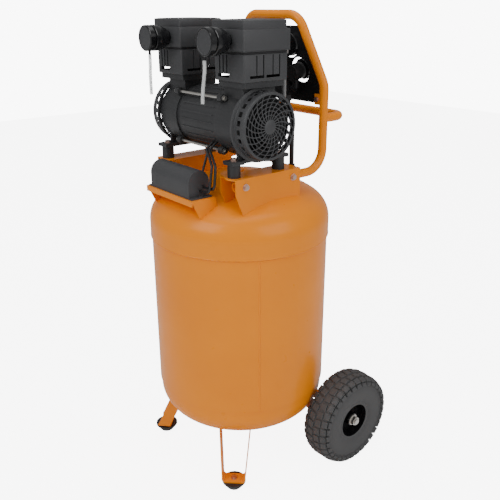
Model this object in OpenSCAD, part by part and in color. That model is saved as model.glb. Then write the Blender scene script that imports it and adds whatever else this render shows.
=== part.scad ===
// Twin-cylinder oil-free air compressor standing on a vertical tank, with two
// wheels, two front feet and a bent-tube frame that carries the control panel.
// Millimetres. Z = 0 is the floor, the tank axis is the Z axis, the motor shaft
// and the wheel axle run along X, the front is -Y and the handle side is +Y.

/* [Tank] */
// Outer diameter of the tank shell
tank_d = 457; // [400:1:510]
// Height of the shell between its two weld seams
shell_h = 416; // [340:1:500]
// Wall of the shell and of both heads
tank_wall = 3.2; // [2:0.1:5]
// Height of the straight skirt of the top head
top_skirt = 40; // [25:1:60]
// Height of the straight skirt of the bottom head
bottom_skirt = 20; // [12:1:40]
// Gap between the floor and the lowest point of the tank
tank_lift = 93; // [70:1:130]

/* [Legs and feet] */
// Distance from the tank axis to each front foot
foot_reach = 228; // [190:1:250]
// Angle of each front foot from the front direction
foot_angle = 46; // [35:1:55]
// Width of the leg and axle straps
strap_w = 36; // [24:1:44]
// Thickness of the leg and axle straps
strap_t = 3.5; // [2.5:0.5:5]
// Clear width between the two arms of a leg strap
strap_gap = 56; // [44:1:70]
// Height of a rubber foot
foot_h = 21; // [16:1:30]
// Top diameter of a rubber foot
foot_d = 62; // [44:1:66]

/* [Wheels] */
// Outer diameter of a tyre
wheel_d = 258; // [220:1:300]
// Width of a tyre
tyre_w = 84; // [60:1:100]
// Diameter over the tyre beads
bead_d = 104; // [90:1:120]
// Distance between the centre planes of the two tyres
track = 520; // [490:1:600]
// Distance of the wheel axle behind the tank axis
axle_back = 161; // [120:1:180]
// Diameter of an axle bolt
axle_d = 16; // [12:1:20]

/* [Saddles and frame] */
// Height of the saddle tops above the top weld seam
saddle_rise = 186; // [180:1:210]
// Distance between the outer faces of the two saddles
saddle_span = 326; // [310:1:340]
// Length of a saddle along Y
saddle_l = 198; // [180:1:230]
// Width of a saddle top
saddle_w = 58; // [50:1:70]
// Thickness of the saddle sheet
sheet_t = 3; // [2:0.5:4]
// Outer diameter of the frame tubes
tube_d = 22; // [18:1:27]
// Wall of the frame tubes
tube_wall = 2; // [1.2:0.1:3]
// Distance of the upright frame tubes behind the tank axis
frame_back = 146; // [130:1:170]
// Height of the frame's top bar above the top weld seam
frame_rise = 530; // [500:1:580]
// Length of the frame's top bar between its bend corners
top_bar = 184; // [140:1:240]
// How far the frame's top leans forward of its uprights
frame_lean = 36; // [0:1:60]
// How far the rear handle stands out behind the frame
handle_out = 70; // [50:1:110]

/* [Pump] */
// Height of the motor shaft above the saddle tops
shaft_rise = 112; // [104:1:130]
// Distance of the motor shaft in front of the tank axis
pump_front = 56; // [40:1:70]
// Distance between the two cylinder axes
cyl_span = 235; // [225:1:250]
// Outer radius of the crankcase drums
drum_r = 76; // [74:1:80]
// Outer radius of the motor housing
stator_r = 72; // [66:1:74]
// Overall length over the two fan guards
pump_l = 368; // [352:1:390]
// Bore of the cylinders
bore_d = 64; // [56:1:66]
// Throw of the crank eccentrics
crank_throw = 6.5; // [4:0.5:8]
// Diameter of the rotor shaft
shaft_d = 16; // [12:1:20]
// Height of the rubber isolators
isolator_h = 30; // [20:1:40]
// Diameter of the rubber isolators
isolator_d = 30; // [24:1:34]
// Distance between the isolators along X
isolator_x = 272; // [262:1:276]
// Distance between the isolators along Y
isolator_y = 134; // [120:1:146]
// Size of a head cover along X
head_x = 112; // [100:1:118]
// Size of a head cover along Y
head_y = 132; // [120:1:140]
// Outer diameter of an intake silencer
silencer_d = 59; // [48:1:64]
// Distance of the silencer ends in front of the head covers
silencer_out = 62; // [50:1:80]

/* [Controls] */
// Diameter of the gauge cases
gauge_d = 56; // [46:1:60]
// Distance between the two gauge centres
gauge_span = 88; // [74:1:92]
// Inner radius of a coupler socket
socket_r = 5.6; // [4:0.1:7]

/* [Clearances] */
// Radial clearance of a shaft in its bearing
run_c = 0.05; // [0.02:0.01:0.1]
// Gap between pieces on different moving bodies
part_c = 0.5; // [0.3:0.1:1]
// Radial clearance of a bolt in its hole
bolt_c = 0.3; // [0.2:0.1:0.6]

/* [Hidden] */
$fn = 48;

tank_r = tank_d / 2;
// A dished head: crown radius, knuckle radius and height as shares of its radius
crown_k = 1.6;
knuckle_k = 0.308;
crown_drop = sqrt(pow(crown_k - knuckle_k, 2) - pow(1 - knuckle_k, 2));
dish_k = crown_k - crown_drop;
head_fit = 0.05;
top_r = tank_r + head_fit + tank_wall;
bottom_r = tank_r - tank_wall - head_fit;
seam_low = tank_lift + dish_k * bottom_r + bottom_skirt;
seam_top = seam_low + shell_h;
dome_z = seam_top + top_skirt;
belly_z = seam_low - bottom_skirt;
overlap_h = 12;

saddle_z = seam_top + saddle_rise;
saddle_x = saddle_span / 2;
saddle_y = -40;
tube_r = tube_d / 2;
tube_x = saddle_x - sheet_t - tube_r;
tube_z = saddle_z - sheet_t - tube_r - 6;
tube_front = saddle_y - saddle_l / 2 + 8;
knee_z = seam_top + 371;
bar_z = seam_top + frame_rise;
bar_y = frame_back - frame_lean;
handle_z = seam_top + 292;

pump_y = -pump_front;
shaft_z = saddle_z + shaft_rise;
cyl_x = cyl_span / 2;
drum_in = 78;
drum_out = 146;
guard_x = pump_l / 2;
deck_z = shaft_z + 97;
cover_h = 64;
head_z = deck_z + cover_h;
lower_tier = 45;
upper_tier = 20;
silencer_z = head_z + 21;
lug_t = 8;
lug_z = saddle_z + isolator_h;

wheel_r = wheel_d / 2;
wheel_x = track / 2;
foot_x = foot_reach * sin(foot_angle);
foot_y = -foot_reach * cos(foot_angle);
bolt_d = 8;
bolt_hole = bolt_d / 2 + bolt_c;

tank_paint = "orange";
plastic = "dimgray";

box_front = -pump_front - 159;
// The model is centred front to back between the tyres' rear and the front of the tank
seam_bead = 2.4;
front_r = tank_r + 1.4 + seam_bead;
mid_y = (axle_back + wheel_r - front_r) / 2;

// ---------------------------------------------------------------- helpers

// Colour a sub-part and set it in the model's centred frame
module painted(c) color(c) translate([0, -mid_y, 0]) children();

// Half section of a dished head of outer radius r, its rim at height 0
module dish_section(r, skirt) {
    c = -crown_drop * r;
    k = (1 - knuckle_k) * r;
    intersection() {
        translate([0, c]) circle(crown_k * r, $fn = 160);
        polygon([[0, c], [3 * k, -2 * c], [0, -2 * c]]);
    }
    intersection() {
        translate([k, 0]) circle(knuckle_k * r, $fn = 80);
        polygon([[k, 0], [3 * k, -2 * c], [3 * k, 0]]);
    }
    polygon([[0, 0], [k, 0], [0, c]]);
    polygon([[0, -skirt], [r, -skirt], [r, 0], [k, 0], [0, 0]]);
}

// Solid of revolution that the dome of the top head fills, grown by g
module dome_solid(g = 0) {
    translate([0, 0, dome_z]) rotate_extrude()
        intersection() {
            dish_section(top_r + g, top_skirt);
            translate([0, -top_skirt]) square([top_r + g + 1, 400]);
        }
}

module belly_solid(g = 0) {
    translate([0, 0, belly_z]) mirror([0, 0, 1]) rotate_extrude()
        intersection() {
            dish_section(bottom_r + g, bottom_skirt);
            translate([0, -bottom_skirt]) square([bottom_r + g + 1, 400]);
        }
}

// Hollow dished head
module dished_head(r, skirt) {
    rotate_extrude() difference() {
        intersection() {
            dish_section(r, skirt);
            translate([0, -skirt]) square([r + 1, 400]);
        }
        intersection() {
            dish_section(r - tank_wall, skirt + 1);
            translate([-1, -skirt - 1]) square([r + 1, 400]);
        }
    }
}

// Cylinder along X from x0 to x1 at height z and depth y
module bar_x(r, x0, x1, y = 0, z = 0, fn = 48) {
    translate([x0, y, z]) rotate([0, 90, 0]) cylinder(r = r, h = x1 - x0, $fn = fn);
}

// Cylinder along Y from y0 to y1
module bar_y(r, y0, y1, x = 0, z = 0, fn = 48) {
    translate([x, y0, z]) rotate([-90, 0, 0]) cylinder(r = r, h = y1 - y0, $fn = fn);
}

// Rectangle with round corners, centred
module rounded(w, h, r) {
    square([w - 2 * r, h], center = true);
    square([w, h - 2 * r], center = true);
    for (x = [-1, 1], y = [-1, 1])
        translate([x * (w / 2 - r), y * (h / 2 - r)]) circle(r, $fn = 24);
}

function unit(v) = v / norm(v);
function turn(a, b) = acos(max(-1, min(1, unit(a) * unit(b))));
function basis(x, y, z, p) = [[x[0], y[0], z[0], p[0]], [x[1], y[1], z[1], p[1]],
                              [x[2], y[2], z[2], p[2]], [0, 0, 0, 1]];
function any_side(d) = unit(cross(d, abs(d[2]) < 0.9 ? [0, 0, 1] : [1, 0, 0]));

// Round bar of radius r through the points p, with bends of radius bend at its
// corners. A short collar joins each straight length to its bend.
collar = 0.15;
module bent_bar(p, bend, r, fn = 32) {
    n = len(p);
    cut = [for (i = [0 : n - 1]) (i == 0 || i == n - 1) ? 0
           : bend * tan(turn(p[i] - p[i - 1], p[i + 1] - p[i]) / 2) + collar];
    for (i = [0 : n - 2]) {
        d = unit(p[i + 1] - p[i]);
        s = any_side(d);
        a = p[i] + d * cut[i];
        l = norm(p[i + 1] - p[i]) - cut[i] - cut[i + 1];
        multmatrix(basis(s, cross(d, s), d, a)) {
            cylinder(r = r, h = l, $fn = fn);
            if (i > 0) translate([0, 0, -0.7]) cylinder(r = r + collar, h = 1.4, $fn = fn);
            if (i < n - 2) translate([0, 0, l - 0.7]) cylinder(r = r + collar, h = 1.4, $fn = fn);
        }
    }
    for (i = [1 : n - 2]) {
        d0 = unit(p[i] - p[i - 1]);
        d1 = unit(p[i + 1] - p[i]);
        axis = unit(cross(d0, d1));
        start = p[i] - d0 * (cut[i] - collar);
        centre = start + cross(axis, d0) * bend;
        out = unit(start - centre);
        multmatrix(basis(out, cross(axis, out), axis, centre))
            rotate_extrude(angle = turn(d0, d1), $fn = 36)
                translate([bend, 0]) circle(r, $fn = fn);
    }
}

// Hexagonal head bolt standing on z = 0, its shank reaching down
module hex_bolt(d, l, washer = true) {
    cylinder(r = d * 0.87, h = d * 0.62, $fn = 6);
    if (washer) translate([0, 0, -1.4]) cylinder(r = d * 1.05, h = 1.4);
    translate([0, 0, -l]) cylinder(r = d / 2, h = l);
}

module hex_nut(d) {
    cylinder(r = d * 0.87, h = d * 0.75, $fn = 6);
}

module at_feet() {
    for (s = [-1, 1]) translate([s * foot_x, foot_y, 0]) rotate([0, 0, s * foot_angle]) children();
}

module at_isolators(side = 0) {
    for (x = side == 0 ? [-1, 1] : [side], y = [-1, 1])
        translate([x * isolator_x / 2, pump_y + y * isolator_y / 2, 0]) children();
}

// ---------------------------------------------------------------- tank

bead_angle = -27;
module tank_shell() painted(tank_paint) {
    difference() {
        union() {
            translate([0, 0, seam_low - 0]) cylinder(r = tank_r, h = shell_h + overlap_h, $fn = 96);
            rotate([0, 0, bead_angle]) translate([tank_r - 0.6, 0, seam_low + 4])
                cylinder(r = 2, h = shell_h - 12, $fn = 24);
        }
        translate([0, 0, seam_low - 1])
            cylinder(r = tank_r - tank_wall, h = shell_h + overlap_h + 2, $fn = 96);
    }
}

// Places of the three threaded bosses on the top head
inlet_xy = [40, 92];
outlet_xy = [92, 96];
boss_r = 14;
boss_top = dome_z + dish_k * top_r - 8;
port_r = 8;
module top_head() painted(tank_paint) difference() {
    union() {
        translate([0, 0, dome_z]) dished_head(top_r, top_skirt);
        difference() {
            translate([0, 0, seam_top]) rotate_extrude() translate([tank_r + 1.4, 0]) circle(seam_bead, $fn = 24);
            translate([0, 0, seam_top - 10]) cylinder(r = tank_r + 0.05, h = 20, $fn = 96);
        }
        for (b = [inlet_xy, outlet_xy])
            translate([b[0], b[1], boss_top - 14]) cylinder(r = boss_r, h = 14);
        // blank pad at the crown
        translate([0, 0, dome_z + dish_k * top_r - 9]) cylinder(r = 12, h = 11);
    }
    for (b = [inlet_xy, outlet_xy])
        translate([b[0], b[1], dome_z]) cylinder(r = port_r, h = 200);
}

drain_r = 7;
drain_boss = 9;
module bottom_head() painted(tank_paint) {
    difference() {
        union() {
            translate([0, 0, belly_z]) mirror([0, 0, 1]) dished_head(bottom_r, bottom_skirt + overlap_h);
            translate([0, 0, tank_lift - drain_boss]) cylinder(r = 15, h = drain_boss + 1.5);
        }
        translate([0, 0, tank_lift - drain_boss - 1]) cylinder(r = drain_r, h = 40);
    }
}

// ---------------------------------------------------------------- legs and feet

leg_lean = 25;
leg_splay = 5;
leg_bend = 8;
// Flat strap bent to a U: a plate at z = 0 with two arms that lean towards +Y
module strap_frame(gap, lean, splay, reach) {
    half = gap / 2;
    bend_h = leg_bend + strap_t;
    rise = reach * tan(lean);
    difference() {
        rotate([90, 0, 0]) translate([0, 0, -strap_w / 2]) linear_extrude(strap_w) difference() {
            translate([0, bend_h]) rounded(gap + 2 * strap_t, 2 * bend_h, bend_h - 0.1);
            translate([0, bend_h]) rounded(gap, 2 * leg_bend, leg_bend - 0.1);
            translate([-gap, bend_h]) square([2 * gap, 4 * leg_bend]);
        }
        translate([0, 0, -1]) cylinder(r = bolt_hole, h = 3 * strap_t);
    }
    for (s = [-1, 1])
        translate([s * (half + strap_t / 2), 0, bend_h]) rotate([0, s * splay, 0])
            rotate([90, 0, 90]) translate([0, 0, -strap_t / 2 + 0.15]) linear_extrude(strap_t - 0.3)
                polygon([[-strap_w / 2 + 0.1, -2], [strap_w / 2 - 0.1, -2],
                         [strap_w / 2 - 0.1 + rise, reach], [-strap_w / 2 + 0.1 + rise, reach]]);
}

module leg(side) painted(tank_paint) difference() {
    translate([side * foot_x, foot_y, foot_h]) rotate([0, 0, side * foot_angle])
        strap_frame(strap_gap, leg_lean, leg_splay, 150);
    belly_solid(0.05);
}

module leg_right() leg(1);
module leg_left() leg(-1);

foot_tip_d = 38;
module rubber_feet() painted("black") at_feet() difference() {
    union() {
        cylinder(r1 = foot_tip_d / 2, r2 = foot_d / 2, h = foot_h - 5);
        translate([0, 0, foot_h - 5]) cylinder(r = foot_d / 2, h = 5);
    }
    translate([0, 0, -1]) cylinder(r = 9, h = 9);
    cylinder(r = bolt_hole, h = foot_h + 1);
}

// ---------------------------------------------------------------- wheels

bracket_x = wheel_x - tyre_w / 2 - 6;
bracket_turn = atan2(axle_back, bracket_x);
bracket_gap = 60;
arm_t = strap_t;
module axle_bracket(side) painted(tank_paint) difference() {
    mirror([side < 0 ? 1 : 0, 0, 0]) union() {
        difference() {
            translate([bracket_x - arm_t, axle_back - strap_w / 2, wheel_r - bracket_gap / 2 - arm_t])
                cube([arm_t, strap_w, bracket_gap + 2 * arm_t]);
            bar_x(axle_d / 2 + bolt_c, bracket_x - 10, bracket_x + 10, axle_back, wheel_r);
        }
        translate([bracket_x - arm_t, axle_back, wheel_r + bracket_gap / 2]) rotate([0, 0, bracket_turn - 12])
            translate([-75, -strap_w / 2, 0]) cube([75 + arm_t / 2, strap_w, arm_t]);
        translate([bracket_x - arm_t, axle_back, wheel_r - bracket_gap / 2 - arm_t]) rotate([0, 0, bracket_turn - 6])
            rotate([0, 22, 0]) translate([-150, -strap_w / 2, 0]) cube([150 + arm_t / 2, strap_w, arm_t]);
        translate([bracket_x - arm_t, axle_back - strap_w / 2, wheel_r + bracket_gap / 2]) cube([arm_t, strap_w, arm_t]);
    }
    belly_solid(0.05);
    translate([0, 0, wheel_r + bracket_gap / 2 - 1]) cylinder(r = bottom_r - 30, h = arm_t + 2);
    translate([side * 1.5 * bracket_x, axle_back, wheel_r]) cube([bracket_x, 200, 300], center = true);
}
module axle_bracket_right() axle_bracket(1);
module axle_bracket_left() axle_bracket(-1);

hub_in = bracket_x + 6;
hub_out = wheel_x + 26;
hub_r = 17;
module axle_bolts() painted("silver") for (s = [0, 1]) mirror([s, 0, 0]) {
    bar_x(axle_d / 2, bracket_x - arm_t, hub_out + 17, axle_back, wheel_r);
    bar_x(axle_d * 0.85, bracket_x - arm_t - 10, bracket_x - arm_t, axle_back, wheel_r, 6);
    bar_x(axle_d * 0.85, bracket_x, hub_in - part_c, axle_back, wheel_r);
    bar_x(axle_d * 0.95, hub_out + part_c, hub_out + 3, axle_back, wheel_r);
    bar_x(axle_d * 0.8, hub_out + 3, hub_out + 13, axle_back, wheel_r, 6);
}

module at_wheel(side) {
    translate([side * wheel_x, axle_back, wheel_r]) rotate([0, side * 90, 0]) children();
}

tread_r = 24;
module tyre(side) painted("black") at_wheel(side) rotate_extrude($fn = 96) {
    depth = wheel_r - bead_d / 2;
    difference() {
        translate([bead_d / 2 + depth / 2, 0]) rounded(depth, tyre_w, tread_r);
        translate([bead_d / 2 + depth / 2 - 12, 0]) rounded(depth - 12, tyre_w - 20, tread_r - 9);
        translate([0, -tyre_w / 2 + 18]) square([bead_d / 2 + 14, tyre_w - 36]);
        for (s = [-1, 1]) translate([0, s * (rim_w / 2 + 1) - 1.6]) square([bead_d / 2 + 7.1, 3.2]);
    }
}
module tyre_right() tyre(1);
module tyre_left() tyre(-1);

rim_w = tyre_w - 22;
rim_bolt_r = 27;
module rim(side) painted("black") at_wheel(side) difference() {
    union() {
        rotate_extrude($fn = 72) {
            translate([bead_d / 2 - 5, -rim_w / 2]) square([4.9, rim_w]);
            for (s = [-1, 1]) translate([bead_d / 2 - 5, s * (rim_w / 2 + 1) - 1.5]) square([12, 3]);
            translate([hub_r - 2, -8]) square([bead_d / 2 - hub_r - 2, 4]);
        }
        translate([0, 0, hub_in - wheel_x]) cylinder(r = hub_r, h = hub_out - hub_in);
        for (i = [0 : 3]) rotate([0, 0, 45 + 90 * i]) translate([rim_bolt_r, 0, -13]) {
            cylinder(r = 4, h = 14);
            cylinder(r = 7, h = 5.1, $fn = 6);
            translate([0, 0, 8.9]) cylinder(r = 7, h = 5.1, $fn = 6);
        }
    }
    translate([0, 0, hub_in - wheel_x - 1]) cylinder(r = axle_d / 2 + run_c, h = hub_out - hub_in + 2);
}
module rim_right() rim(1);
module rim_left() rim(-1);

// ---------------------------------------------------------------- saddles

module saddle(side) painted(tank_paint) difference() {
    mirror([side < 0 ? 1 : 0, 0, 0]) difference() {
        union() {
            translate([saddle_x - saddle_w, saddle_y - saddle_l / 2, saddle_z - sheet_t])
                cube([saddle_w, saddle_l, sheet_t]);
            for (y = [-1, 1]) translate([isolator_x / 2, pump_y + y * isolator_y / 2, saddle_z - sheet_t])
                cylinder(r = isolator_d / 2 + 7, h = sheet_t);
            for (x = [saddle_x - sheet_t, saddle_x - saddle_w])
                translate([x, 0, 0]) rotate([90, 0, 90]) linear_extrude(sheet_t)
                    polygon([[saddle_y - saddle_l / 2, saddle_z], [saddle_y + saddle_l / 2, saddle_z],
                             [saddle_y + saddle_l / 2, dome_z], [saddle_y - saddle_l / 2 + 38, dome_z + 20],
                             [saddle_y - saddle_l / 2, saddle_z - 36]]);
        }
        for (y = [-1, 1]) translate([isolator_x / 2, pump_y + y * isolator_y / 2, saddle_z - 2 * sheet_t])
            cylinder(r = bolt_hole, h = 4 * sheet_t);
        for (y = saddle_bolt_y) bar_x(bolt_hole, saddle_x - 2 * sheet_t, saddle_x + 1, y, tube_z);
    }
    dome_solid(0.05);
}
saddle_bolt_y = [saddle_y - saddle_l / 2 + 28, saddle_y + saddle_l / 2 - 24];
module saddle_right() saddle(1);
module saddle_left() saddle(-1);

// ---------------------------------------------------------------- frame

bend_low = 52;
bend_knee = 60;
bend_top = 44;
frame_path = [[-tube_x, tube_front, tube_z], [-tube_x, frame_back, tube_z], [-tube_x, frame_back, knee_z],
              [-top_bar / 2, bar_y, bar_z], [top_bar / 2, bar_y, bar_z], [tube_x, frame_back, knee_z],
              [tube_x, frame_back, tube_z], [tube_x, tube_front, tube_z]];
frame_bends = [0, bend_low, bend_knee, bend_top, bend_top, bend_knee, bend_low, 0];

// Tube along the frame path, where each corner has its own bend
module ring_2d(r, ri) difference() {
    circle(r, $fn = 24);
    circle(ri, $fn = 24);
}
module frame_line(r, ri) {
    n = len(frame_path);
    p = frame_path;
    cut = [for (i = [0 : n - 1]) (i == 0 || i == n - 1) ? 0
           : frame_bends[i] * tan(turn(p[i] - p[i - 1], p[i + 1] - p[i]) / 2) + collar];
    for (i = [0 : n - 2]) {
        d = unit(p[i + 1] - p[i]);
        s = any_side(d);
        l = norm(p[i + 1] - p[i]) - cut[i] - cut[i + 1];
        multmatrix(basis(s, cross(d, s), d, p[i] + d * cut[i])) {
            linear_extrude(l) ring_2d(r, ri);
            if (i > 0) translate([0, 0, -0.7]) linear_extrude(1.4) ring_2d(r + collar, ri - collar);
            if (i < n - 2) translate([0, 0, l - 0.7]) linear_extrude(1.4) ring_2d(r + collar, ri - collar);
        }
    }
    for (i = [1 : n - 2]) {
        d0 = unit(p[i] - p[i - 1]);
        d1 = unit(p[i + 1] - p[i]);
        axis = unit(cross(d0, d1));
        start = p[i] - d0 * (cut[i] - collar);
        centre = start + cross(axis, d0) * frame_bends[i];
        out = unit(start - centre);
        multmatrix(basis(out, cross(axis, out), axis, centre))
            rotate_extrude(angle = turn(d0, d1), $fn = 36) translate([frame_bends[i], 0]) ring_2d(r, ri);
    }
}

tab_z = [seam_top + 336, seam_top + 470];
tab_lean = (frame_back - bar_y) / (bar_z - knee_z);
tab_in = (tube_x - top_bar / 2) / (bar_z - knee_z);
function panel_y(z) = frame_back - max(0, z - knee_z) * tab_lean;
function inner_x(z) = tube_x - tube_r - max(0, z - knee_z) * tab_in;
tab_w = 26;
module handle_frame() painted(tank_paint) {
    difference() {
        frame_line(tube_r, tube_r - tube_wall);
        for (s = [-1, 1], y = saddle_bolt_y)
            bar_x(bolt_hole, min(s * (tube_x - tube_r - 5), s * (tube_x + tube_r + 5)),
                  max(s * (tube_x - tube_r - 5), s * (tube_x + tube_r + 5)), y, tube_z);
    }
    for (s = [-1, 1])
        translate([s * (inner_x(tab_z[0]) - 6), panel_y(tab_z[0]) - 4.6, tab_z[0]]) difference() {
            cube([18, 3, tab_w], center = true);
            translate([-s * 1, 0, 0]) rotate([90, 0, 0]) cylinder(r = 3.3, h = 20, center = true);
        }
}

handle_bend = 30;
module rear_handle() painted(tank_paint) {
    y1 = frame_back + handle_out;
    path = [[-tube_x, frame_back, handle_z], [-tube_x, y1, handle_z], [tube_x, y1, handle_z],
            [tube_x, frame_back, handle_z]];
    difference() {
        bent_bar(path, handle_bend, tube_r);
        bent_bar(path, handle_bend, tube_r - tube_wall);
        for (s = [-1, 1]) translate([s * tube_x, frame_back, handle_z - 50]) cylinder(r = tube_r + 0.02, h = 100);
    }
}

panel_t = 3;
panel_low = seam_top + 326;
panel_top = bar_z - tube_r - 14;
gauge_z = seam_top + 462;
lower_z = seam_top + 402;
lower_x = 74;
module panel_outline(g) {
    up = (panel_top - knee_z) / cos(lean_deg);
    polygon([[-inner_x(panel_low) + g, panel_low - knee_z], [inner_x(panel_low) - g, panel_low - knee_z],
             [inner_x(panel_low) - g, 0], [inner_x(panel_top) - g, up],
             [-inner_x(panel_top) + g, up], [-inner_x(panel_low) + g, 0]]);
}
lean_deg = atan(tab_lean);
// Frame of the leaning half of the panel: local X is X, local Y runs up the slope,
// local Z points back towards the user
module on_slope(x, z) {
    translate([x, panel_y(z), z]) rotate([90 - lean_deg, 0, 180]) children();
}
module control_panel() painted("black") difference() {
    union() {
        translate([0, frame_back + panel_t / 2, knee_z]) rotate([90, 0, 0]) linear_extrude(panel_t)
            intersection() {
                panel_outline(4);
                translate([-300, -200]) square([600, 200]);
            }
        translate([0, frame_back, knee_z]) rotate([90 + lean_deg, 0, 0]) translate([0, 0, -panel_t / 2])
            linear_extrude(panel_t) intersection() {
                panel_outline(4);
                translate([-300, -0.2]) square([600, 400]);
            }
    }
    for (s = [-1, 1]) {
        on_slope(s * gauge_span / 2, gauge_z) cylinder(r = gauge_d / 2 + 5, h = 20, center = true);
        on_slope(s * lower_x, lower_z) cylinder(r = 31, h = 20, center = true);
        translate([s * (inner_x(tab_z[0]) - 7), frame_back, tab_z[0]]) rotate([90, 0, 0])
            cylinder(r = 3.3, h = 20, center = true);
        translate([s * coupler_x, frame_back, coupler_z]) rotate([90, 0, 0]) cylinder(r = 9, h = 20, center = true);
    }
}

module frame_bolts() painted("silver") {
    // saddle bolts through the frame tube, each with its nut
    for (s = [0, 1], y = saddle_bolt_y) mirror([s, 0, 0]) {
        translate([saddle_x + 1.4, y, tube_z]) rotate([0, 90, 0]) hex_bolt(bolt_d, 1.4 + sheet_t + tube_d + 9);
        translate([tube_x - tube_r - 6.5, y, tube_z]) rotate([0, 90, 0]) difference() {
            hex_nut(bolt_d);
            translate([0, 0, -1]) cylinder(r = bolt_d / 2 + 0.01, h = 20);
        }
    }
    // isolator bolts from above the pump's feet
    at_isolators() translate([0, 0, lug_z + lug_t + 1.4]) hex_bolt(bolt_d, lug_t + isolator_h + sheet_t + 8);
    at_isolators() translate([0, 0, saddle_z - sheet_t - 6]) difference() {
        cylinder(r = bolt_d * 0.82, h = 6, $fn = 6);
        translate([0, 0, -1]) cylinder(r = bolt_d / 2 + 0.01, h = 8);
    }
    // foot screws
    at_feet() translate([0, 0, foot_h + strap_t + 1.4]) hex_bolt(bolt_d, 1.4 + strap_t + foot_h - 9);
    // panel screws
    for (s = [-1, 1]) translate([s * (inner_x(tab_z[0]) - 7), panel_y(tab_z[0]) - 6.1, tab_z[0]])
        rotate([90, 0, 0]) translate([0, 0, 1.4]) hex_bolt(6, 14);
}

// ---------------------------------------------------------------- pump

module isolators() painted("black") at_isolators() translate([0, 0, saddle_z]) difference() {
    cylinder(r = isolator_d / 2, h = isolator_h);
    translate([0, 0, -1]) cylinder(r = bolt_hole, h = isolator_h + 2);
}

tie_r = 3.5;
tie_at = (drum_r + 8) / sqrt(2);
bearing_r = 19;
bearing_w = 12;
ecc_r = shaft_d / 2 + crank_throw + 0.5;
ring_in = ecc_r + 2 * crank_throw + part_c;
ring_out = ring_in + 5.5;
big_end_w = 18;

module stator_housing() painted(plastic) translate([0, pump_y, shaft_z]) difference() {
    union() {
        bar_x(stator_r, -drum_in, drum_in, fn = 72);
        for (a = [0 : 15 : 345]) rotate([a, 0, 0])
            translate([-drum_in + 16, -1, stator_r - 1]) cube([2 * drum_in - 32, 2, 3]);
    }
    bar_x(rotor_r + 1, -drum_in - 1, drum_in + 1);
    for (s = [0, 1]) mirror([s, 0, 0]) bar_x(stator_r - 6, 54, drum_in + 1);
    for (p = [[22, 142.5], [60, 127.5], [48, 127.5]]) rotate([p[1], 0, 0]) translate([p[0], 0, stator_r - 8])
        cylinder(r = lead_r + bolt_c, h = 20);
}

rotor_r = 38;
module rotor_shaft() painted("silver") translate([0, pump_y, shaft_z]) {
    bar_x(shaft_d / 2, -guard_x + 9, guard_x - 9);
    bar_x(rotor_r, -48, 48);
    for (s = [-1, 1]) bar_x(ecc_r, s * cyl_x - big_end_w / 2, s * cyl_x + big_end_w / 2, 0, s * crank_throw);
}

module motor_bearings() painted("silver") translate([0, pump_y, shaft_z]) for (s = [0, 1])
    mirror([s, 0, 0]) difference() {
        bar_x(bearing_r, drum_in, drum_in + bearing_w);
        bar_x(shaft_d / 2 + run_c, drum_in - 1, drum_in + bearing_w + 1);
        bar_x(bearing_r - 3.5, drum_in + bearing_w - 1.5, drum_in + bearing_w + 1);
    }

neck_w = drum_out - drum_in;
barrel_r = bore_d / 2 + 4;
module crankcase(side) painted(plastic) translate([0, pump_y, shaft_z]) mirror([side < 0 ? 1 : 0, 0, 0])
    difference() {
        union() {
            bar_x(drum_r, drum_in, drum_out, fn = 72);
            for (y = [-1, 1], z = [-1, 1]) bar_x(9, drum_in, drum_in + 14, y * tie_at, z * tie_at);
            translate([isolator_x / 2 - 18, -isolator_y / 2 - 17, lug_z - shaft_z])
                cube([drum_out - isolator_x / 2 + 18, isolator_y + 34, lug_t]);
            for (y = [-1, 1]) translate([isolator_x / 2 - 18, y * isolator_y / 2 - 17, lug_z - shaft_z])
                cube([36, 34, lug_t]);
            for (y = [-1, 1]) translate([isolator_x / 2 - 4, y * (isolator_y / 2 - 24) - 14, lug_z - shaft_z])
                cube([8, 28, 34]);
            translate([drum_in, -head_y / 2 + 20, 40]) cube([neck_w, head_y - 40, deck_z - shaft_z - 40]);
            translate([cyl_x - head_x / 2 + 9, -head_y / 2 + 10, deck_z - shaft_z - 12])
                cube([head_x - 18, head_y - 20, 12]);
        }
        bar_x(drum_r - 6, drum_in + 6, drum_out + 1, fn = 72);
        translate([cyl_x, 0, 30]) cylinder(r = barrel_r + 0.2, h = deck_z - shaft_z, $fn = 72);
        bar_x(bearing_r + 0.01, drum_in - 1, drum_in + 20);
        for (y = [-1, 1], z = [-1, 1]) bar_x(tie_r + bolt_c, drum_in - 1, drum_in + 30, y * tie_at, z * tie_at);
        for (y = [-1, 1]) translate([isolator_x / 2, y * isolator_y / 2, lug_z - shaft_z - 1])
            cylinder(r = bolt_hole, h = lug_t + 2);
        for (y = [-1, 1]) translate([isolator_x / 2, y * isolator_y / 2, lug_z - shaft_z + lug_t])
            cylinder(r = 11, h = 40);
    }
module crankcase_right() crankcase(1);
module crankcase_left() crankcase(-1);

module tie_rods() painted("silver") translate([0, pump_y, shaft_z]) for (y = [-1, 1], z = [-1, 1]) {
    bar_x(tie_r, -drum_in - 22, drum_in + 22, y * tie_at, z * tie_at);
    for (s = [0, 1]) mirror([s, 0, 0])
        bar_x(6.4, drum_in + 14, drum_in + 20, y * tie_at, z * tie_at, 6);
}

plate_t = 4.5;
crown_h = 14;
crown_top = head_z - plate_t - 1 - crank_throw;
module piston(side) painted("silver") translate([side * cyl_x, pump_y, shaft_z]) {
    difference() {
        bar_x(ring_out, -big_end_w / 2 + 1, big_end_w / 2 - 1);
        bar_x(ring_in, -big_end_w, big_end_w);
    }
    translate([-5, -8, ring_out - 3]) cube([10, 16, crown_top - shaft_z - crown_h - ring_out + 4]);
    translate([0, 0, crown_top - shaft_z - crown_h]) cylinder(r = bore_d / 2 - run_c, h = crown_h, $fn = 72);
}
module piston_right() piston(1);
module piston_left() piston(-1);

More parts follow.
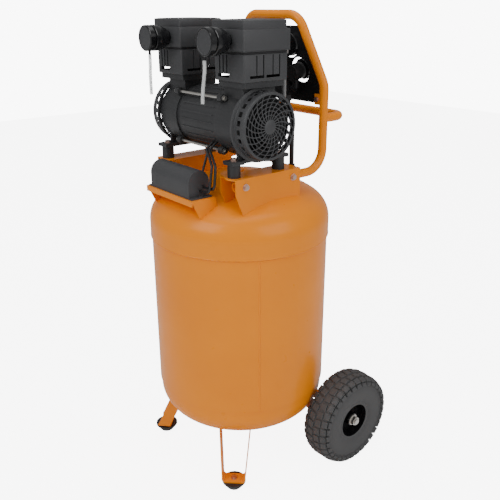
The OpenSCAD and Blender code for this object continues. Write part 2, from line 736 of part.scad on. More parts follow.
module cylinder_barrel(side) painted("silver") translate([side * cyl_x, pump_y, 0]) difference() {
    union() {
        translate([0, 0, shaft_z + flange_r + 1])
            cylinder(r = barrel_r, h = head_z - plate_t - shaft_z - flange_r, $fn = 72);
        translate([0, 0, deck_z]) cylinder(r = barrel_r + 8, h = 5, $fn = 72);
        translate([-head_x / 2 + 5, -head_y / 2 + 5, head_z - plate_t]) cube([head_x - 10, head_y - 10, plate_t]);
    }
    translate([0, 0, shaft_z]) cylinder(r = bore_d / 2, h = head_z - plate_t - shaft_z, $fn = 72);
    for (y = [-1, 1]) translate([0, y * 15, shaft_z]) cylinder(r = 6, h = 300);
}
module cylinder_right() cylinder_barrel(1);
module cylinder_left() cylinder_barrel(-1);

cover_w = head_x - 8;
cover_d = head_y - 8;
cover_t = 4;
slot_w = 7;
module cylinder_cover(side) painted(plastic) translate([side * cyl_x, pump_y, deck_z])
    mirror([side < 0 ? 1 : 0, 0, 0]) difference() {
        translate([-cover_w / 2, -cover_d / 2, 0]) cube([cover_w, cover_d, cover_h - plate_t]);
        translate([-cover_w / 2 + cover_t, -cover_d / 2 + cover_t, -1])
            cube([cover_w - 2 * cover_t, cover_d - 2 * cover_t, cover_h + 2]);
        for (y = [-1, 1]) {
            translate([-cover_w / 2 + 12, y * cover_d / 2 - cover_t - 1, 8]) cube([cover_w - 24, 2 * cover_t + 2, 9]);
            for (x = [-1, 0, 1]) translate([x * 28 - slot_w / 2, y * cover_d / 2 - cover_t - 1, 8])
                cube([slot_w, 2 * cover_t + 2, 42]);
        }
        for (x = [-1, 1], y = [-1, 1]) {
            translate([x * cover_w / 2 - cover_t - 1, y * 30 - 22, 8]) cube([2 * cover_t + 2, 44, 9]);
            for (k = [-1, 1]) translate([x * cover_w / 2 - cover_t - 1, y * 30 + k * 11 - slot_w / 2, 8])
                cube([2 * cover_t + 2, slot_w, 42]);
        }
    }
module cylinder_cover_right() cylinder_cover(1);
module cylinder_cover_left() cylinder_cover(-1);

port_z = head_z + 22;
discharge_r = 6;
spigot_r = 10;
module head_cover(side) painted(plastic) translate([side * cyl_x, pump_y, head_z]) difference() {
    union() {
        translate([-head_x / 2, -head_y / 2, 0]) cube([head_x, head_y, lower_tier]);
        translate([-head_x / 2, -head_y / 2, lower_tier - 1]) cube([head_x, head_y - 11, upper_tier + 1]);
    }
    for (y = [-1, 1]) translate([-head_x / 2 + 8, y * (head_y / 4 - 1) - head_y / 4 + 7, -1])
        cube([head_x - 16, head_y / 2 - 14, lower_tier - 6]);
    bar_y(spigot_r + 0.01, -head_y / 2 - 1, -head_y / 2 + 12, 0, silencer_z - head_z);
    bar_y(discharge_r + 0.01, head_y / 2 - 12, head_y / 2 + 1, 0, port_z - head_z);
}
module head_cover_right() head_cover(1);
module head_cover_left() head_cover(-1);

guard_r = drum_r + 2;
flange_r = guard_r + 6.5;
guard_wall = 3;
fan_r = guard_r - guard_wall - 4;
blade_w = 24;
module fan(side) painted("black") translate([side * (drum_out + 5), pump_y, shaft_z])
    mirror([side < 0 ? 1 : 0, 0, 0]) difference() {
        union() {
            bar_x(16, 0, blade_w);
            bar_x(fan_r, 0, 2, fn = 72);
            for (i = [0 : 8]) rotate([40 * i, 0, 0]) translate([1, 0, 12]) rotate([0, 0, 35])
                translate([0, -1, 0]) cube([blade_w, 2, fan_r - 16]);
        }
        bar_x(shaft_d / 2 + 0.01, -1, blade_w + 1);
    }
module fan_right() fan(1);
module fan_left() fan(-1);

grille_t = 3;
grille_rings = [27, 37, 47, 57, 67];
module fan_guard(side) painted(plastic) translate([0, pump_y, shaft_z]) mirror([side < 0 ? 1 : 0, 0, 0]) {
    difference() {
        union() {
            bar_x(guard_r, drum_out, guard_x, fn = 72);
            bar_x(flange_r, drum_out, drum_out + 4, fn = 72);
        }
        bar_x(guard_r - guard_wall, drum_out - 1, guard_x + 1, fn = 72);
        for (i = [0 : 23]) rotate([15 * i, 0, 0]) translate([guard_x - 22, -4, guard_r - 6]) cube([12, 8, 12]);
    }
    translate([guard_x - grille_t, 0, 0]) rotate([0, 90, 0]) linear_extrude(grille_t) {
        circle(16);
        for (r = grille_rings) difference() {
            circle(r + 1.5, $fn = 72);
            circle(r - 1.5, $fn = 72);
        }
        for (i = [0 : 19]) rotate(18 * i + 9) translate([14, -1.2]) square([guard_r - 15.5, 2.4]);
    }
}
module fan_guard_right() fan_guard(1);
module fan_guard_left() fan_guard(-1);

silencer_r = silencer_d / 2;
silencer_l = silencer_out;
silencer_face = -head_y / 2 - silencer_l;
breather_off = [-8, 7];
breather_exit = silencer_z - silencer_r - 8;
module silencer(side) painted("black") translate([side * cyl_x, pump_y, silencer_z]) {
    translate([0, silencer_face, 0]) rotate([-90, 0, 0]) rotate_extrude($fn = 72)
        polygon([[0, 1.5], [silencer_r - 4, 1.5], [silencer_r - 4, 0], [silencer_r, 0], [silencer_r, 14],
                 [silencer_r - 3, 15], [silencer_r - 3, 17], [silencer_r, 18], [silencer_r, 28],
                 [silencer_r - 2.5, 40], [silencer_r - 7, 52], [silencer_r - 12, silencer_l - 0.5],
                 [spigot_r, silencer_l - 0.5],
                 [spigot_r, silencer_l + 8], [6, silencer_l + 8], [6, silencer_l - 4],
                 [silencer_r - 13, silencer_l - 5], [silencer_r - 11, 50], [silencer_r - 6, 40], [silencer_r - 5, 28],
                 [silencer_r - 5, 4.5], [0, 4.5]]);
    translate([side * breather_off[0], silencer_face + breather_off[1], breather_exit - silencer_z])
        cylinder(r = 3, h = 12);
}
module silencer_right() silencer(1);
module silencer_left() silencer(-1);

// Route of a breather tube from its spigot, as offsets that mirror on the other side
breather_route = [[0, 0, 0], [0, 0, -6], [0, 0, -12], [0, -0.2, -18], [-0.2, -0.5, -24], [-0.5, -1, -30],
                  [-0.9, -1.6, -36], [-1.4, -2.2, -42], [-2, -2.8, -48], [-2.6, -3.3, -54], [-3.2, -3.7, -60],
                  [-3.7, -4, -66], [-4.1, -4.2, -72], [-4.4, -4.3, -78], [-4.6, -4.4, -84], [-4.7, -4.4, -90]];
breather_r = 4;
// Tube that follows route p: a ring of n corners at each of its points
module swept(p, r, n = 10) {
    m = len(p);
    dir = [for (i = [0 : m - 1]) unit(p[min(i + 1, m - 1)] - p[max(i - 1, 0)])];
    pts = [for (i = [0 : m - 1]) let (u = unit(cross(dir[i], [0, 1, 0])), v = cross(dir[i], u))
           for (k = [0 : n - 1]) p[i] + r * (cos(360 * k / n) * u + sin(360 * k / n) * v)];
    sides = [for (i = [0 : m - 2], k = [0 : n - 1])
             [i * n + k, i * n + (k + 1) % n, (i + 1) * n + (k + 1) % n, (i + 1) * n + k]];
    first = [for (k = [n - 1 : -1 : 0]) k];
    last = [for (k = [0 : n - 1]) (m - 1) * n + k];
    polyhedron(concat(pts), concat(sides, [first, last]));
}
module breather_tube(side) painted("lightgray") mirror([side < 0 ? 1 : 0, 0, 0])
    translate([cyl_x + breather_off[0], pump_y + silencer_face + breather_off[1], breather_exit])
        swept(breather_route, breather_r);
module breather_tube_right() breather_tube(1);
module breather_tube_left() breather_tube(-1);

// ---------------------------------------------------------------- capacitor box

box_l = 184;
box_d = 58;
box_h = 64;
tray_w = 66;
tray_z = seam_top + 137;
tray_t = 2.5;
module box_bracket() painted(tank_paint) difference() {
    union() {
        translate([-box_l / 2 - 5, box_front, tray_z - tray_t]) cube([box_l + 10, tray_w, tray_t]);
        translate([-box_l / 2 - 5, box_front, tray_z - 14]) cube([box_l + 10, tray_t, 14]);
        for (s = [-1, 1]) translate([s * (box_l / 2 + 3.7) - tray_t / 2, 0, 0]) rotate([90, 0, 90])
            linear_extrude(tray_t) polygon([[box_front, tray_z], [box_front + tray_w, tray_z],
                                            [box_front + tray_w + 8, tray_z - 30],
                                            [box_front + 30, tray_z - 60]]);
    }
    dome_solid(0.05);
    for (s = [-1, 1]) translate([s * (box_l / 2 - 6), box_front + tray_w / 2, tray_z - 10]) cylinder(r = 2.6, h = 20);
}

lead_r = 3;
top_lead = [26, tray_z + 24];
end_lead_y = [box_front + tray_w / 2 + box_d / 2 - 16, box_front + tray_w / 2 + box_d / 2 - 25];
end_lead_z = [tray_z + 24, tray_z + 15];
module arch(w, h) {
    translate([-w / 2, 0]) square([w, h - w / 2]);
    translate([0, h - w / 2]) circle(w / 2, $fn = 64);
}
module lead_holes() {
    bar_y(lead_r + bolt_c, box_front + tray_w / 2, box_front + tray_w, top_lead[0], top_lead[1]);
    for (k = [0, 1]) bar_x(lead_r + bolt_c, box_l / 2 - 24, box_l / 2, end_lead_y[k], end_lead_z[k]);
}
module capacitor_box() painted(plastic) difference() {
    box_body();
    lead_holes();
}
module box_body() translate([0, box_front + tray_w / 2, tray_z]) {
    difference() {
        translate([-box_l / 2 + 12, 0, 0]) rotate([90, 0, 90]) linear_extrude(box_l - 24)
            intersection() {
                arch(box_d, box_h);
                translate([-box_d, 0]) square([2 * box_d, box_h]);
            }
        translate([-box_l / 2 + 15, 0, 0]) rotate([90, 0, 90]) linear_extrude(box_l - 30)
            intersection() {
                arch(box_d - 6, box_h - 3);
                translate([-box_d, -1]) square([2 * box_d, box_h]);
            }
    }
    for (s = [-1, 1]) translate([s * (box_l / 2 - 6), 0, 0]) difference() {
        translate([-6, -box_d / 2, 0]) cube([12, box_d, 3]);
        translate([0, 0, -1]) cylinder(r = 2.6, h = 6);
    }
    for (s = [-1, 1]) translate([s * (box_l / 2 - 6), 0, 3]) cylinder(r = 4.5, h = 2.5);
}

module motor_leads() painted("black") {
    y0 = box_front + tray_w / 2 + box_d / 2;
    bent_bar([[top_lead[0], y0 - 6, top_lead[1]], [top_lead[0], y0 + 14, top_lead[1]],
              at_motor(22, stator_r + 20, 142.5), at_motor(22, stator_r - 3, 142.5)], 9, lead_r, 20);
    for (k = [0, 1])
        bent_bar([[box_l / 2 - 20, end_lead_y[k], end_lead_z[k]], [box_l / 2 + 30 - 8 * k, end_lead_y[k], end_lead_z[k]],
                  [box_l / 2 + 26 - 8 * k, y0 - 8 - 4 * k, tray_z + 76],
                  at_motor(60 - 12 * k, stator_r + 26, 127.5), at_motor(60 - 12 * k, stator_r - 3, 127.5)],
                 11, lead_r, 20);
}
// Point at radius r from the motor shaft, a degrees round from straight up towards the front
function at_motor(x, r, a) = [x, pump_y - r * sin(a), shaft_z + r * cos(a)];

// ---------------------------------------------------------------- air lines

line_y = pump_y + head_y / 2 + 34;
valve_top = boss_top + 46;
module discharge_tube() painted("gray") {
    bent_bar([[cyl_x, pump_y + head_y / 2 - 6, port_z], [cyl_x, line_y, port_z], [cyl_x, line_y, shaft_z - 20],
              [inlet_xy[0], inlet_xy[1], valve_top + 44], [inlet_xy[0], inlet_xy[1], valve_top - 6]],
             18, discharge_r - 1);
    bent_bar([[-cyl_x, pump_y + head_y / 2 - 6, port_z], [-cyl_x, line_y, port_z],
              [cyl_x - 4, line_y, port_z]], 18, discharge_r - 1);
    for (s = [-1, 1]) bar_y(9.5, pump_y + head_y / 2, pump_y + head_y / 2 + 11, s * cyl_x, port_z, 6);
    translate([cyl_x, line_y, port_z - 34]) cylinder(r = 9, h = 16, $fn = 6);
}

module check_valve() painted("gold") translate([inlet_xy[0], inlet_xy[1], 0]) difference() {
    union() {
        translate([0, 0, boss_top - 12]) cylinder(r = port_r - 0.02, h = 14);
        translate([0, 0, boss_top]) cylinder(r = 15, h = 12, $fn = 6);
        translate([0, 0, boss_top + 11]) cylinder(r = 11, h = valve_top - boss_top - 21);
        translate([0, 0, valve_top - 12]) cylinder(r = 12, h = 12, $fn = 6);
        bent_bar([[-9, 0, boss_top + 22], [-60, 0, boss_top + 22],
                  [-lower_x - inlet_xy[0], switch_y - inlet_xy[1], lower_z - 76],
                  [-lower_x - inlet_xy[0], switch_y - inlet_xy[1], lower_z - 26]], 16, 3, 24);
    }
    translate([0, 0, boss_top - 20]) cylinder(r = 4.5, h = 60);
    translate([0, 0, valve_top - 8]) cylinder(r = discharge_r - 0.99, h = 9);
}

block_x = 60;
block_y0 = frame_back - 34;
block_y1 = frame_back - 10;
block_z0 = seam_top + 341;
block_z1 = seam_top + 375;
coupler_x = 35;
coupler_z = seam_top + 352;
coupler_out = frame_back + 36;
sleeve_r = 8.5;
sleeve_l = 20;
sleeve_travel = 3.5;
hose_r = 6;
module supply_hose() painted("black") {
    bent_bar([[outlet_xy[0], outlet_xy[1], boss_top + 6], [outlet_xy[0], outlet_xy[1], block_z0 - 60],
              [block_x - 14, (block_y0 + block_y1) / 2, block_z0 - 34],
              [block_x - 14, (block_y0 + block_y1) / 2, block_z0]], 16, hose_r);
    translate([outlet_xy[0], outlet_xy[1], boss_top]) cylinder(r = 11, h = 14, $fn = 6);
    translate([outlet_xy[0], outlet_xy[1], boss_top + 14]) cylinder(r = 9, h = 12);
    translate([block_x - 14, (block_y0 + block_y1) / 2, block_z0 - 14]) cylinder(r = 9.5, h = 14, $fn = 6);
}

nipple_x = -58;
nipple_r = 5;
safety_x = -10;
safety_y = (block_y0 + block_y1) / 2;
module manifold() painted("silver") difference() {
    union() {
        translate([-46, block_y0, block_z0]) cube([46 + block_x, block_y1 - block_y0, block_z1 - block_z0]);
        translate([nipple_x - 9, block_y0, block_z0]) cube([40, block_y1 - block_y0, 16]);
        translate([nipple_x, safety_y, block_z0 + 15]) cylinder(r = nipple_r, h = 21);
        for (s = [-1, 1]) {
            bar_y(sleeve_r, block_y1 - 1, coupler_out, s * coupler_x, coupler_z);
            bar_y(sleeve_r + 3, coupler_out - 2.5, coupler_out, s * coupler_x, coupler_z);
        }
        // regulator body and its feed
        on_slope(lower_x, lower_z) translate([0, 0, -34]) cylinder(r = 20, h = 32);
        on_slope(lower_x, lower_z) translate([0, 0, -34]) cylinder(r = 8, h = 44);
        translate([lower_x, safety_y - 2, block_z0 + 18]) rotate([0, 0, 0]) cylinder(r = 8, h = 26);
        bar_x(8, block_x - 2, lower_x, safety_y - 2, block_z0 + 18);
        // relief valve
        translate([safety_x, safety_y, block_z1 - 1]) cylinder(r = 9, h = 9, $fn = 6);
        translate([safety_x, safety_y, block_z1 + 7]) cylinder(r = 7.5, h = 18);
        translate([safety_x, safety_y, block_z1 + 24]) cylinder(r = 2, h = 9);
    }
    for (s = [-1, 1]) bar_y(socket_r, coupler_out - 30, coupler_out + 1, s * coupler_x, coupler_z);
    bar_x(5, -47, block_x - 8, safety_y, block_z1 - 9);
}

module safety_ring() painted("silver") translate([safety_x, safety_y, block_z1 + 25 + part_c]) {
    difference() {
        cylinder(r = 4.5, h = 11);
        translate([0, 0, -1]) cylinder(r = 2 + run_c, h = 10);
    }
    translate([0, 0, 19]) rotate([90, 0, 0]) rotate_extrude($fn = 48) translate([9, 0]) circle(1.1, $fn = 16);
}

module coupler_sleeve(side) painted("gold") difference() {
    bar_y(sleeve_r + 4.5, coupler_out - 3 - sleeve_l, coupler_out - 3, side * coupler_x, coupler_z);
    bar_y(sleeve_r + run_c, coupler_out - 40, coupler_out, side * coupler_x, coupler_z);
}
module coupler_sleeve_right() coupler_sleeve(1);
module coupler_sleeve_left() coupler_sleeve(-1);

switch_y = panel_y(lower_z) - 22;
lever_r = 5;
module pressure_switch() painted("black") difference() {
    on_slope(-lower_x, lower_z) difference() {
        union() {
            translate([-24, -30, -42]) cube([48, 60, 38]);
            translate([-14, -14, -5]) cube([28, 28, 3]);
        }
        translate([-9, -12, -22]) cube([18, 24, 30]);
        translate([-20, 0, -12]) rotate([0, 90, 0]) cylinder(r = 2.5, h = 40);
    }
    translate([-lower_x, switch_y, lower_z - 60]) cylinder(r = 3 + bolt_c, h = 38);
    translate([nipple_x, safety_y, block_z0]) cylinder(r = nipple_r + bolt_c, h = 39);
}

module switch_lever() painted("red") on_slope(-lower_x, lower_z) {
    translate([-8, 0, -12]) rotate([0, 90, 0]) cylinder(r = lever_r, h = 16);
    translate([-12, 0, -12]) rotate([0, 90, 0]) cylinder(r = 2.5 - run_c, h = 24);
    translate([-7, -3, -12]) cube([14, 6, 32]);
}

module gauges() painted("black") for (s = [-1, 1]) on_slope(s * gauge_span / 2, gauge_z) difference() {
    union() {
        translate([0, 0, -22]) cylinder(r = gauge_d / 2, h = 28, $fn = 72);
        translate([0, 0, 4]) cylinder(r = gauge_d / 2 + 2, h = 3, $fn = 72);
        translate([0, 0, -36]) cylinder(r = 6, h = 15);
        translate([0, 2, -30]) rotate([90, 0, 0]) cylinder(r = 4, h = 80);
    }
    translate([0, 0, 1]) cylinder(r = gauge_d / 2 - 2, h = 10, $fn = 72);
    translate([0, 0, -4]) cylinder(r = 1.5, h = 20);
}

module gauge_needle(side) painted("red") on_slope(side * gauge_span / 2, gauge_z) rotate([0, 0, 45]) {
    translate([0, 0, -3]) cylinder(r = 1.5 - run_c, h = 6);
    translate([0, 0, 2]) cylinder(r = 3, h = 1.2);
    translate([-0.9, -6, 2.1]) cube([1.8, gauge_d / 2 + 1, 0.9]);
}
module gauge_needle_right() gauge_needle(1);
module gauge_needle_left() gauge_needle(-1);

knob_r = 24;
module regulator_knob() painted("black") on_slope(lower_x, lower_z) difference() {
    union() {
        translate([0, 0, 4]) cylinder(r = knob_r, h = 22, $fn = 60);
        for (i = [0 : 11]) rotate([0, 0, 30 * i]) translate([knob_r, 0, 5]) cylinder(r = 2.2, h = 20, $fn = 16);
    }
    translate([0, 0, -20]) cylinder(r = 8 + run_c, h = 31);
    translate([0, 0, -1]) cylinder(r = 12, h = 8);
}

// ---------------------------------------------------------------- drain

drain_z = tank_lift - drain_boss;
valve_z = drain_z - 16;
module drain_valve() painted("gold") difference() {
    union() {
        translate([0, 0, drain_z - 2]) cylinder(r = drain_r - 0.02, h = 10);
        translate([0, 0, drain_z - 8]) cylinder(r = 12, h = 8, $fn = 6);
        translate([0, 0, drain_z - 30]) cylinder(r = 10, h = 23);
        translate([0, 0, drain_z - 38]) cylinder(r = 6, h = 9);
        bar_y(4, -20, -5, 0, valve_z);
    }
    translate([0, 0, drain_z - 40]) cylinder(r = 3.5, h = 60);
}

module drain_lever() painted("red") translate([0, 0, valve_z]) {
    difference() {
        union() {
            bar_y(8, -19, -14);
            translate([0, -17.5, -6]) cube([44, 2.5, 12]);
        }
        bar_y(4 + run_c, -30, 0);
    }
}

// ---------------------------------------------------------------- output

tank_shell();
top_head();
bottom_head();
leg_right();
leg_left();
rubber_feet();
axle_bracket_right();
axle_bracket_left();
axle_bolts();
tyre_right();
tyre_left();
rim_right();
rim_left();
saddle_right();
saddle_left();
frame_bolts();
handle_frame();
rear_handle();
control_panel();
isolators();
stator_housing();
rotor_shaft();
motor_bearings();
crankcase_right();
crankcase_left();
tie_rods();
piston_right();
piston_left();
cylinder_right();
cylinder_left();
cylinder_cover_right();
cylinder_cover_left();
head_cover_right();
head_cover_left();
fan_right();
fan_left();
fan_guard_right();
fan_guard_left();
silencer_right();
silencer_left();
breather_tube_right();
breather_tube_left();
box_bracket();
capacitor_box();
motor_leads();
discharge_tube();
supply_hose();
check_valve();
manifold();
pressure_switch();
gauges();
gauge_needle_left();
gauge_needle_right();
regulator_knob();
switch_lever();
coupler_sleeve_left();
coupler_sleeve_right();
safety_ring();
drain_valve();
drain_lever();
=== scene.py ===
# %% [markdown]
# A twin-cylinder air compressor on a vertical tank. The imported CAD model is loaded
# as a fixed frame, and every new piece takes its place from that frame. A workshop
# machine like this lives from a few finishes: thick gloss enamel on the tank and
# tube work, dull grey castings and plastic on the pump, gloss black silencers, and
# black rubber on the wheels, so those finishes are made first and then the pieces.

# %% Load the frame
import math

import bmesh
import bpy
from mathutils import Matrix, Vector


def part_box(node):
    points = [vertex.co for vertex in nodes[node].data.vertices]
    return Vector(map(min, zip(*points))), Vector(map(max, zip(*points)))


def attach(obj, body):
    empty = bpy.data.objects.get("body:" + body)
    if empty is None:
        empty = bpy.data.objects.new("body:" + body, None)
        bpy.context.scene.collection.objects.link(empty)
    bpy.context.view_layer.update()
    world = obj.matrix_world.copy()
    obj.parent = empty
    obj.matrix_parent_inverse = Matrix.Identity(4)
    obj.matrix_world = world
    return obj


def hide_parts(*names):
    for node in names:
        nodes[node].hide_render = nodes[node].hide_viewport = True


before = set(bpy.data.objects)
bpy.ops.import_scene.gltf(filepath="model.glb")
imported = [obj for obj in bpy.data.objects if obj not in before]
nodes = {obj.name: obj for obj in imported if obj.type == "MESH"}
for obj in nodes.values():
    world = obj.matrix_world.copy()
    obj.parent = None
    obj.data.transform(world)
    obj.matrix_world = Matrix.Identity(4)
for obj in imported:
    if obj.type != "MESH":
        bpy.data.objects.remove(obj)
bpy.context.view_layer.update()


def box_of(node):
    low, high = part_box(node)
    return Vector(low), Vector(high)


# %% [markdown]
# The tank's axis is the best reference for the whole machine: the shell gives the
# axis, its radius and the height of the top seam. The camera stands in front and to
# the right of the machine, a little higher than its top, and looks down on it.

# %% Reference sizes
shell_low, shell_high = box_of("tank_shell")
tank_y = (shell_low.y + shell_high.y) / 2
tank_r = (shell_high.y - shell_low.y) / 2
overlap = 0.012
seam_top = shell_high.z - overlap
print("tank radius", round(tank_r, 4), "axis y", round(tank_y, 4), "top seam", round(seam_top, 4))

# %% Camera
azimuth = math.radians(51.5)
down_angle = math.radians(20.91)
swing = 0.0168
roll = 0.0049
reach = 1.6048
eye_height = 1.1964
turn = (
    Matrix.Rotation(azimuth - swing, 3, "Z")
    @ Matrix.Rotation(math.radians(90) - down_angle, 3, "X")
    @ Matrix.Rotation(-roll, 3, "Z")
)
camera_data = bpy.data.cameras.new("camera")
camera_data.sensor_width = 36
camera_data.lens = 46.31
camera = bpy.data.objects.new("camera", camera_data)
bpy.context.scene.collection.objects.link(camera)
camera.location = (reach * math.sin(azimuth), tank_y - reach * math.cos(azimuth), eye_height)
camera.rotation_euler = turn.to_euler()
bpy.context.scene.camera = camera
print("camera at", [round(c, 3) for c in camera.location])


# %% [markdown]
# Shader maths reads best as plain expressions, so one small class wraps a node's
# output and gives it the usual operators. Each expression adds the Math nodes it
# needs, and every other node comes from one method.

# %% Shader helper
class Wire:
    def __init__(self, sheet, socket):
        self.sheet, self.socket = sheet, socket

    def maths(self, operation, *others, clamp=False):
        node = self.sheet.tree.nodes.new("ShaderNodeMath")
        node.operation, node.use_clamp = operation, clamp
        for i, value in enumerate((self,) + others):
            self.sheet.feed(node.inputs[i], value)
        return Wire(self.sheet, node.outputs[0])

    def __add__(self, other):
        return self.maths("ADD", other)

    def __mul__(self, other):
        return self.maths("MULTIPLY", other)

    def __sub__(self, other):
        return self.maths("SUBTRACT", other)

    def __radd__(self, other):
        return self.maths("ADD", other)

    def __rmul__(self, other):
        return self.maths("MULTIPLY", other)

    def __rsub__(self, other):
        return Wire.maths(self * -1.0, "ADD", other)

    def clamp(self):
        return self.maths("ADD", 0.0, clamp=True)


class Finish:
    """A material whose nodes are written as expressions."""

    def __init__(self, name, **constants):
        self.material = bpy.data.materials.new(name)
        self.material.use_nodes = True
        self.tree = self.material.node_tree
        self.shader = self.tree.nodes["Principled BSDF"]
        for key, value in constants.items():
            self.shader.inputs[key.replace("_", " ")].default_value = value
        self.place = self.add("ShaderNodeTexCoord", "Object")

    def feed(self, socket, value):
        if isinstance(value, Wire):
            self.tree.links.new(value.socket, socket)
        else:
            socket.default_value = value

    def add(self, kind, out, settings=None, **inputs):
        node = self.tree.nodes.new(kind)
        for key, value in (settings or {}).items():
            if key == "stops":
                ramp = node.color_ramp
                for i, (at, colour) in enumerate(value):
                    stop = ramp.elements[i] if i < 2 else ramp.elements.new(at)
                    stop.position, stop.color = at, (*colour, 1)
            else:
                setattr(node, key, value)
        for key, value in inputs.items():
            self.feed(node.inputs[key.replace("_", " ")], value)
        return Wire(self, node.outputs[out])

    def noise(self, scale, detail=4.0, rough=0.5, at=None):
        return self.add("ShaderNodeTexNoise", "Fac", Vector=at or self.place, Scale=scale,
                        Detail=detail, Roughness=rough)

    def ramp(self, fac, stops):
        return self.add("ShaderNodeValToRGB", "Color", {"stops": stops}, Fac=fac)

    def mix(self, fac, a, b):
        node = self.tree.nodes.new("ShaderNodeMix")
        node.data_type = "RGBA"
        self.feed(node.inputs[0], fac)
        for i, colour in ((6, a), (7, b)):
            self.feed(node.inputs[i], colour if isinstance(colour, Wire) else (*colour, 1))
        return Wire(self, node.outputs[2])

    def edges(self, size=0.004):
        """Bright where an outer edge is near, from the bevelled normal against the true one."""
        bevel = self.add("ShaderNodeBevel", "Normal", {"samples": 4}, Radius=size)
        true = self.add("ShaderNodeNewGeometry", "Normal")
        node = self.tree.nodes.new("ShaderNodeVectorMath")
        node.operation = "DOT_PRODUCT"
        self.feed(node.inputs[0], bevel)
        self.feed(node.inputs[1], true)
        return (1.0 - Wire(self, node.outputs["Value"])) * 3.0

    def bump(self, height, distance, strength=1.0):
        node = self.tree.nodes.new("ShaderNodeBump")
        node.inputs["Distance"].default_value = distance
        node.inputs["Strength"].default_value = strength
        self.feed(node.inputs["Height"], height)
        self.feed(self.shader.inputs["Normal"], Wire(self, node.outputs[0]))

    def colour(self, value):
        self.feed(self.shader.inputs["Base Color"], value)

    def rough(self, value):
        self.feed(self.shader.inputs["Roughness"], value)


# %% [markdown]
# Enamel on pressed steel is thick and glossy. It has a faint orange peel, tiny
# variations of tone where the coat is thinner, and it is never perfectly even in
# gloss. A clear coat on the shader gives the sharp top reflection, and two noises
# at different scales give the peel and the slow drift of tone.

# %% Painted finishes
def enamel(name, light, dark, peel=0.00006, gloss=0.26, coat=0.6):
    f = Finish(name, Coat_Weight=coat, Coat_Roughness=0.12, Specular_IOR_Level=0.22)
    drift = f.noise(5.0, 3.0)
    f.colour(f.ramp(drift, [(0.3, dark), (0.7, light)]))
    f.rough(f.noise(38.0, 3.0) * 0.12 + gloss - 0.06)
    f.bump(f.noise(420.0, 2.0) + f.noise(90.0, 2.0) * 0.8, peel)
    return f.material


tank_paint = enamel("tank_paint", (0.92, 0.268, 0.0), (0.86, 0.242, 0.0), gloss=0.30, coat=0.10)
rim_paint = enamel("rim_paint", (0.012, 0.012, 0.013), (0.007, 0.007, 0.008), gloss=0.22)
panel_paint = enamel("panel_paint", (0.014, 0.014, 0.015), (0.009, 0.009, 0.010),
                     peel=0.0001, gloss=0.42, coat=0.15)
silencer_paint = enamel("silencer_paint", (0.010, 0.010, 0.011), (0.006, 0.006, 0.007),
                        gloss=0.2, coat=0.5)
print("enamels:", tank_paint.name, rim_paint.name, panel_paint.name, silencer_paint.name)


# %% [markdown]
# The pump's covers are moulded in dark grey plastic with a fine spark-eroded grain,
# and the castings are sprayed dull grey over a sandy skin. Their outer edges, polished
# by handling, get a painted highlight: a lighter colour mixed in where they catch light.

# %% Plastic and casting finishes
def grained(name, base, edge, grain=0.00008, scale=1500.0, gloss=0.55):
    f = Finish(name)
    tone = f.ramp(f.noise(12.0, 5.0), [(0.3, tuple(c * 0.86 for c in base)), (0.75, base)])
    # Painted highlight: near each outer edge the colour is mixed towards the lighter edge colour, broken up
    # by noise.
    edge_highlight = (f.edges(0.003) * (f.noise(60.0, 3.0) * 0.9 + 0.3)).clamp()
    f.colour(f.mix(edge_highlight * 0.55, tone, edge))
    f.rough(f.noise(30.0, 4.0) * 0.16 + gloss - 0.08)
    f.bump(f.noise(scale, 2.0) * 0.7 + f.noise(scale * 0.3, 2.0) * 0.5, grain)
    return f.material


# The second colour of each of these finishes is the painted highlight on its outer edges.
cover_plastic = grained("cover_plastic", (0.046, 0.047, 0.050), (0.10, 0.10, 0.105), gloss=0.50)
casting = grained("casting", (0.028, 0.029, 0.031), (0.08, 0.08, 0.084),
                  grain=0.0002, scale=700.0, gloss=0.48)
fan_plastic = grained("fan_plastic", (0.012, 0.012, 0.013), (0.03, 0.03, 0.03), gloss=0.5)
print("grained:", cover_plastic.name, casting.name, fan_plastic.name)


# %% [markdown]
# Rubber is dull and slightly dusty. Its noise breaks the roughness into soft
# patches, and a fine bump keeps the highlight from looking like plastic.

# %% Rubber, metals and small parts
def rubber(name, base, gloss=0.62, dust=0.25):
    f = Finish(name)
    patch = f.noise(26.0, 6.0, 0.6)
    dusty = tuple(min(1, c + 0.022) for c in base)
    f.colour(f.mix((patch * 1.6 - 0.5).clamp() * dust, base, dusty))
    f.rough(patch * 0.2 + gloss - 0.1)
    f.bump(f.noise(900.0, 3.0), 0.00009)
    return f.material


def metal(name, base, gloss=0.32, streak=(1.0, 1.0, 1.0), shade=0.8):
    f = Finish(name, Metallic=1.0)
    mapped = f.add("ShaderNodeMapping", "Vector", Vector=f.place, Scale=streak)
    brushed = f.noise(240.0, 4.0, 0.6, at=mapped)
    f.colour(f.ramp(f.noise(45.0, 4.0), [(0.3, tuple(c * shade for c in base)), (0.7, base)]))
    f.rough(brushed * 0.2 + gloss - 0.1)
    f.bump(brushed, 0.00003)
    return f.material


tyre_rubber = rubber("tyre_rubber", (0.055, 0.055, 0.056))
mount_rubber = rubber("mount_rubber", (0.020, 0.020, 0.021), gloss=0.5, dust=0.12)
hose_rubber = rubber("hose_rubber", (0.011, 0.011, 0.012), gloss=0.42, dust=0.1)
zinc = metal("zinc", (0.66, 0.64, 0.60))
pink_zinc = metal("pink_zinc", (0.72, 0.52, 0.44), gloss=0.36)
steel = metal("steel", (0.58, 0.58, 0.58), streak=(4.0, 0.2, 0.2))
light_alloy = metal("light_alloy", (0.56, 0.56, 0.56), gloss=0.42)
brass = metal("brass", (0.72, 0.50, 0.20), gloss=0.3)


def clear_vinyl():
    f = Finish("clear_vinyl", IOR=1.45, Alpha=0.5)
    haze = f.noise(60.0, 3.0)
    f.colour(f.ramp(haze, [(0.3, (0.70, 0.72, 0.72)), (0.7, (0.86, 0.87, 0.86))]))
    f.rough(haze * 0.2 + 0.12)
    return f.material


